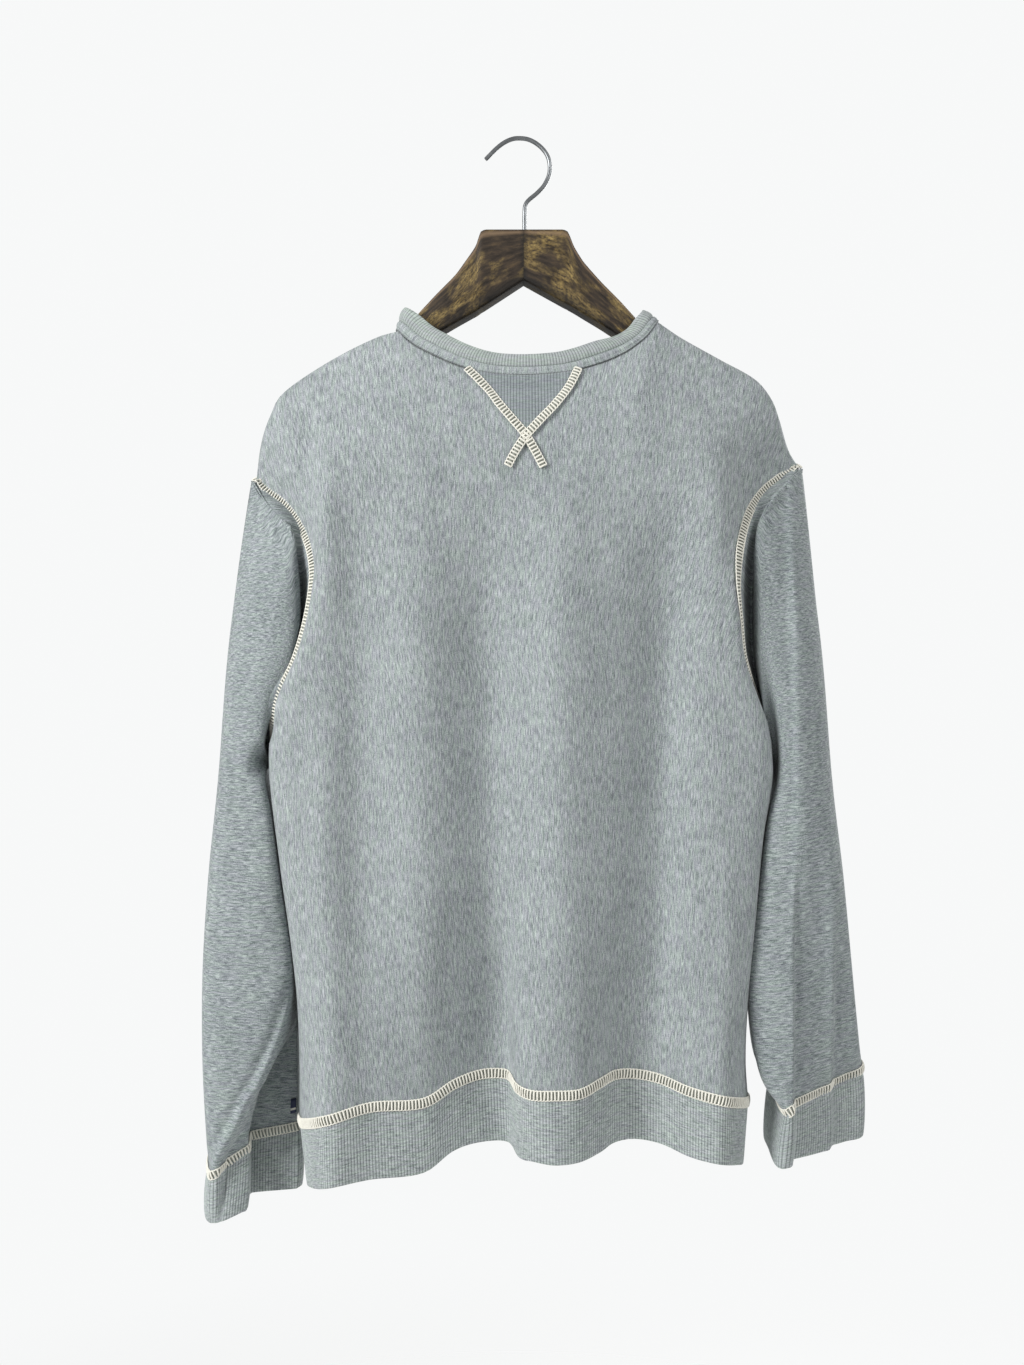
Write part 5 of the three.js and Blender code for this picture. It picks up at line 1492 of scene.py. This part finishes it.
hook_mesh.set_sharp_from_angle(angle=SHARP)
hook = bpy.data.objects.new("hanger_hook_wire", hook_mesh)
bpy.context.collection.objects.link(hook)
print("length of wire:", round(np.linalg.norm(np.diff(hook_line, axis=0), axis=1).sum()), "mm")

# %% [markdown]
# The wood was stained almost black and has been rubbed through in patches, so a golden brown
# shows in short marks along the grain. A tan band along its upper edge is a painted highlight,
# its lower edge is darkened as painted shade, a thin line along the very top is darker, and a
# dark line shows where the two arms are glued. The wire is drawn steel gone dull, and the tab
# is woven ribbon.

# %% Wood, wire and ribbon
ARM_HEIGHT = 0.03                 # metres, about what the arms measure from edge to edge
JOINT_X = 0.006
worn_wood, tree, surface = new_material("stained_beech_rubbed_through")
coordinates = add(tree, "ShaderNodeTexCoord").outputs
along_arm = add(tree, "ShaderNodeSeparateXYZ", inputs={0: coordinates["UV"]}).outputs
place = add(tree, "ShaderNodeSeparateXYZ", inputs={0: coordinates["Object"]}).outputs
up_arm = add(tree, "ShaderNodeMath", {"operation": "MULTIPLY"},
             {0: along_arm["Y"], 1: ARM_HEIGHT})
board = add(tree, "ShaderNodeCombineXYZ",
            inputs={"X": along_arm["X"], "Y": up_arm.outputs[0], "Z": place["Y"]}).outputs[0]


def wood_noise(scale, detail, roughness):
    placed = add(tree, "ShaderNodeMapping", inputs={"Vector": board, "Scale": scale}).outputs[0]
    return add(tree, "ShaderNodeTexNoise", inputs={
        "Vector": placed, "Scale": 1.0, "Detail": detail, "Roughness": roughness}).outputs[0]


grain = wood_noise((60, 420, 420), 5.0, 0.65)
patch = wood_noise((30, 75, 60), 3.0, 0.6)
speckle = wood_noise((260, 800, 800), 3.0, 0.7)
dark_wood = ramp(tree, grain, [(0.3, colour("#17120D")), (0.52, colour("#31261A")),
                               (0.75, colour("#544228"))])
gold = ramp(tree, grain, [(0.35, colour("#66532E")), (0.65, colour("#A58D54"))])
where_patch = ramp(tree, patch, [(0.46, GREY[0]), (0.6, GREY[1])])
where_speck = ramp(tree, speckle, [(0.36, GREY[0]), (0.62, GREY[1])])
where = blend(tree, 1.0, where_patch, where_speck, "MULTIPLY")
wood = blend(tree, where, dark_wood, gold)
# Painted highlight: a tan band along the upper edge.
upper_edge_highlight = ramp(tree, along_arm["Y"], [(0.88, GREY[0]), (0.93, GREY[0.65]), (0.98, GREY[0])])
wood = blend(tree, upper_edge_highlight, wood, colour("#8C745A"))
# Painted shade: the lower edge is darkened, and a thin line along the very top is darker too.
lower_edge_shade_and_top_line = ramp(tree, along_arm["Y"], [(0.06, GREY[0.35]), (0.2, GREY[1]), (0.97, GREY[1]),
                                        (1.0, GREY[0.5])])
wood = blend(tree, 1.0, wood, lower_edge_shade_and_top_line, "MULTIPLY")
from_joint = add(tree, "ShaderNodeMath", {"operation": "SUBTRACT"}, {0: place["X"], 1: JOINT_X})
from_joint = add(tree, "ShaderNodeMath", {"operation": "ABSOLUTE"}, {0: from_joint.outputs[0]})
joint_line = ramp(tree, from_joint.outputs[0], [(0.0003, GREY[0.35]), (0.0014, GREY[1])])
tree.links.new(blend(tree, 1.0, wood, joint_line, "MULTIPLY"), surface.inputs["Base Color"])
bump = add(tree, "ShaderNodeBump", inputs={
    "Strength": 0.5, "Distance": 0.0006, "Height": grain}).outputs[0]
tree.links.new(bump, surface.inputs["Normal"])
rough = ramp(tree, grain, [(0.3, GREY[0.35]), (0.7, GREY[0.65])])
tree.links.new(rough, surface.inputs["Roughness"])
for piece in (arm_left, arm_right):
    piece.data.materials.append(worn_wood)

wire_steel, tree, surface = new_material("drawn_steel_wire")
place = add(tree, "ShaderNodeTexCoord").outputs["Object"]
dull = add(tree, "ShaderNodeTexNoise", inputs={
    "Vector": place, "Scale": 240.0, "Detail": 4.0}).outputs[0]
tree.links.new(ramp(tree, dull, [(0.3, colour("#7F8284")), (0.7, colour("#939698"))]),
               surface.inputs["Base Color"])
surface.inputs["Roughness"].default_value = 0.42
surface.inputs["Metallic"].default_value = 1.0
hook.data.materials.append(wire_steel)

ribbon, tree, surface = new_material("woven_ribbon")
uv = add(tree, "ShaderNodeTexCoord").outputs["UV"]
split = add(tree, "ShaderNodeSeparateXYZ", inputs={0: uv})
stripe = ramp(tree, split.outputs["Y"], [
    (0.0, colour("#27304C")), (0.62, colour("#27304C")), (0.66, colour("#D8D6CC")),
    (0.76, colour("#D8D6CC")), (0.8, colour("#27304C"))])
tree.links.new(stripe, surface.inputs["Base Color"])
weave = add(tree, "ShaderNodeTexWave", {"wave_type": "BANDS", "bands_direction": "Y"},
            {"Vector": uv, "Scale": 9.0}).outputs[1]
bump = add(tree, "ShaderNodeBump", inputs={
    "Strength": 0.3, "Distance": 0.0002, "Height": weave}).outputs[0]
tree.links.new(bump, surface.inputs["Normal"])
surface.inputs["Roughness"].default_value = 0.7
sleeve_tab.data.materials.append(ribbon)
print("hard finishes:", worn_wood.name, wire_steel.name, ribbon.name)

# %% [markdown]
# The studio is one pale room. The floor is a large matt disc, two metres below the hook, that
# fades into the room's own white, so there is no horizon from any side. One large soft light
# stands to the left of the camera and draws the folds, a weak one fills the right, and one
# behind lights the far side. The room is seen nearly white but lights the cloth with well under
# half of that, as a pale wall behind would.

# %% Studio
FLOOR_HEIGHT = -2.0
FLOOR_RADIUS = 2.5
FLOOR_FADE = 0.7                  # metres from the middle where the floor starts to fade
FLOOR_GONE = 0.95                 # share of the radius where it has faded away
FLOOR_SIDES = 96

rim = [(FLOOR_RADIUS * math.cos(a), FLOOR_RADIUS * math.sin(a), FLOOR_HEIGHT)
       for a in np.linspace(0, 2 * math.pi, FLOOR_SIDES, endpoint=False)]
floor_mesh = bpy.data.meshes.new("floor")
floor_mesh.from_pydata(rim, [], [list(range(FLOOR_SIDES))])
floor = bpy.data.objects.new("floor", floor_mesh)
bpy.context.collection.objects.link(floor)

floor_paint, tree, surface = new_material("matt_white_paint")
surface.inputs["Base Color"].default_value = colour("#F4F4F3")
surface.inputs["Roughness"].default_value = 0.9
place = add(tree, "ShaderNodeTexCoord").outputs["Object"]
flat_place = add(tree, "ShaderNodeVectorMath", {"operation": "MULTIPLY"},
                 {0: place, 1: (1, 1, 0)}).outputs[0]
away = add(tree, "ShaderNodeVectorMath", {"operation": "LENGTH"},
           {0: flat_place}).outputs["Value"]
fade = add(tree, "ShaderNodeMapRange", {"interpolation_type": "SMOOTHSTEP"},
           {0: away, 1: FLOOR_FADE, 2: FLOOR_RADIUS * FLOOR_GONE}).outputs[0]
clear = add(tree, "ShaderNodeBsdfTransparent").outputs[0]
both = add(tree, "ShaderNodeMixShader", inputs={0: fade, 1: surface.outputs[0], 2: clear})
output = next(node for node in tree.nodes if node.type == "OUTPUT_MATERIAL")
tree.links.new(both.outputs[0], output.inputs["Surface"])
floor.data.materials.append(floor_paint)


def soft_light(name, place, target, size, power):
    data = bpy.data.lights.new(name, "AREA")
    data.shape = "DISK"
    data.size = size
    data.energy = power
    made = bpy.data.objects.new(name, data)
    made.location = place
    made.rotation_euler = (Vector(target) - Vector(place)).to_track_quat("-Z", "Y").to_euler()
    bpy.context.collection.objects.link(made)
    return made


# Name, place and target in metres, width in metres, power in watts
LIGHTS = [
    ("key_light", (-2.6, -1.9, 0.6), (0, 0, -0.5), 1.5, 116),
    ("fill_light", (2.4, -1.8, 1.0), (0, 0, -0.4), 1.5, 38),
    ("back_light", (1.6, 2.6, 0.6), (0, 0, -0.5), 1.8, 60),
]
for row in LIGHTS:
    soft_light(*row)

SEEN_WHITE = 0.95
LIT_BY_ROOM = 0.38
world = bpy.data.worlds.new("pale_room")
bpy.context.scene.world = world
world.use_nodes = True
background = world.node_tree.nodes["Background"]
background.inputs["Color"].default_value = colour("#FDFEFE")
is_seen = add(world.node_tree, "ShaderNodeLightPath").outputs["Is Camera Ray"]
strength = add(world.node_tree, "ShaderNodeMapRange",
               inputs={0: is_seen, 3: LIT_BY_ROOM, 4: SEEN_WHITE}).outputs[0]
world.node_tree.links.new(strength, background.inputs["Strength"])
bpy.context.scene.view_settings.view_transform = "Standard"

# %% [markdown]
# Last, each piece is tied to the frame: it rides on the root, and the plain solid that it stands
# for is hidden.

# %% Tie every piece to the frame
STANDS_FOR = [
    (back_panel, "back_panel", "fleece"),
    (front_panel, "front_panel", "fleece"),
    (v_insert, "v_insert", "rib"),
    (neck_binding, "neck_binding", "fleece"),
    (neck_rib, "neck_rib", "rib"),
    (sleeve_left, "sleeve_left", "fleece"),
    (sleeve_right, "sleeve_right", "fleece"),
    (cuff_left, "cuff_left", "rib"),
    (cuff_right, "cuff_right", "rib"),
    (hem, "hem_rib", "rib"),
    (sleeve_tab, "sleeve_tab", "tab"),
    (arm_left, "hanger_left", "wood"),
    (arm_right, "hanger_right", "wood"),
    (hook, "hanger_hook", "hook_steel"),
]
for piece, node_name, slot_name in STANDS_FOR:
    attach(piece, "root")
    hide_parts(node_name)
for piece in bands + neck_rows:
    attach(piece, "root")
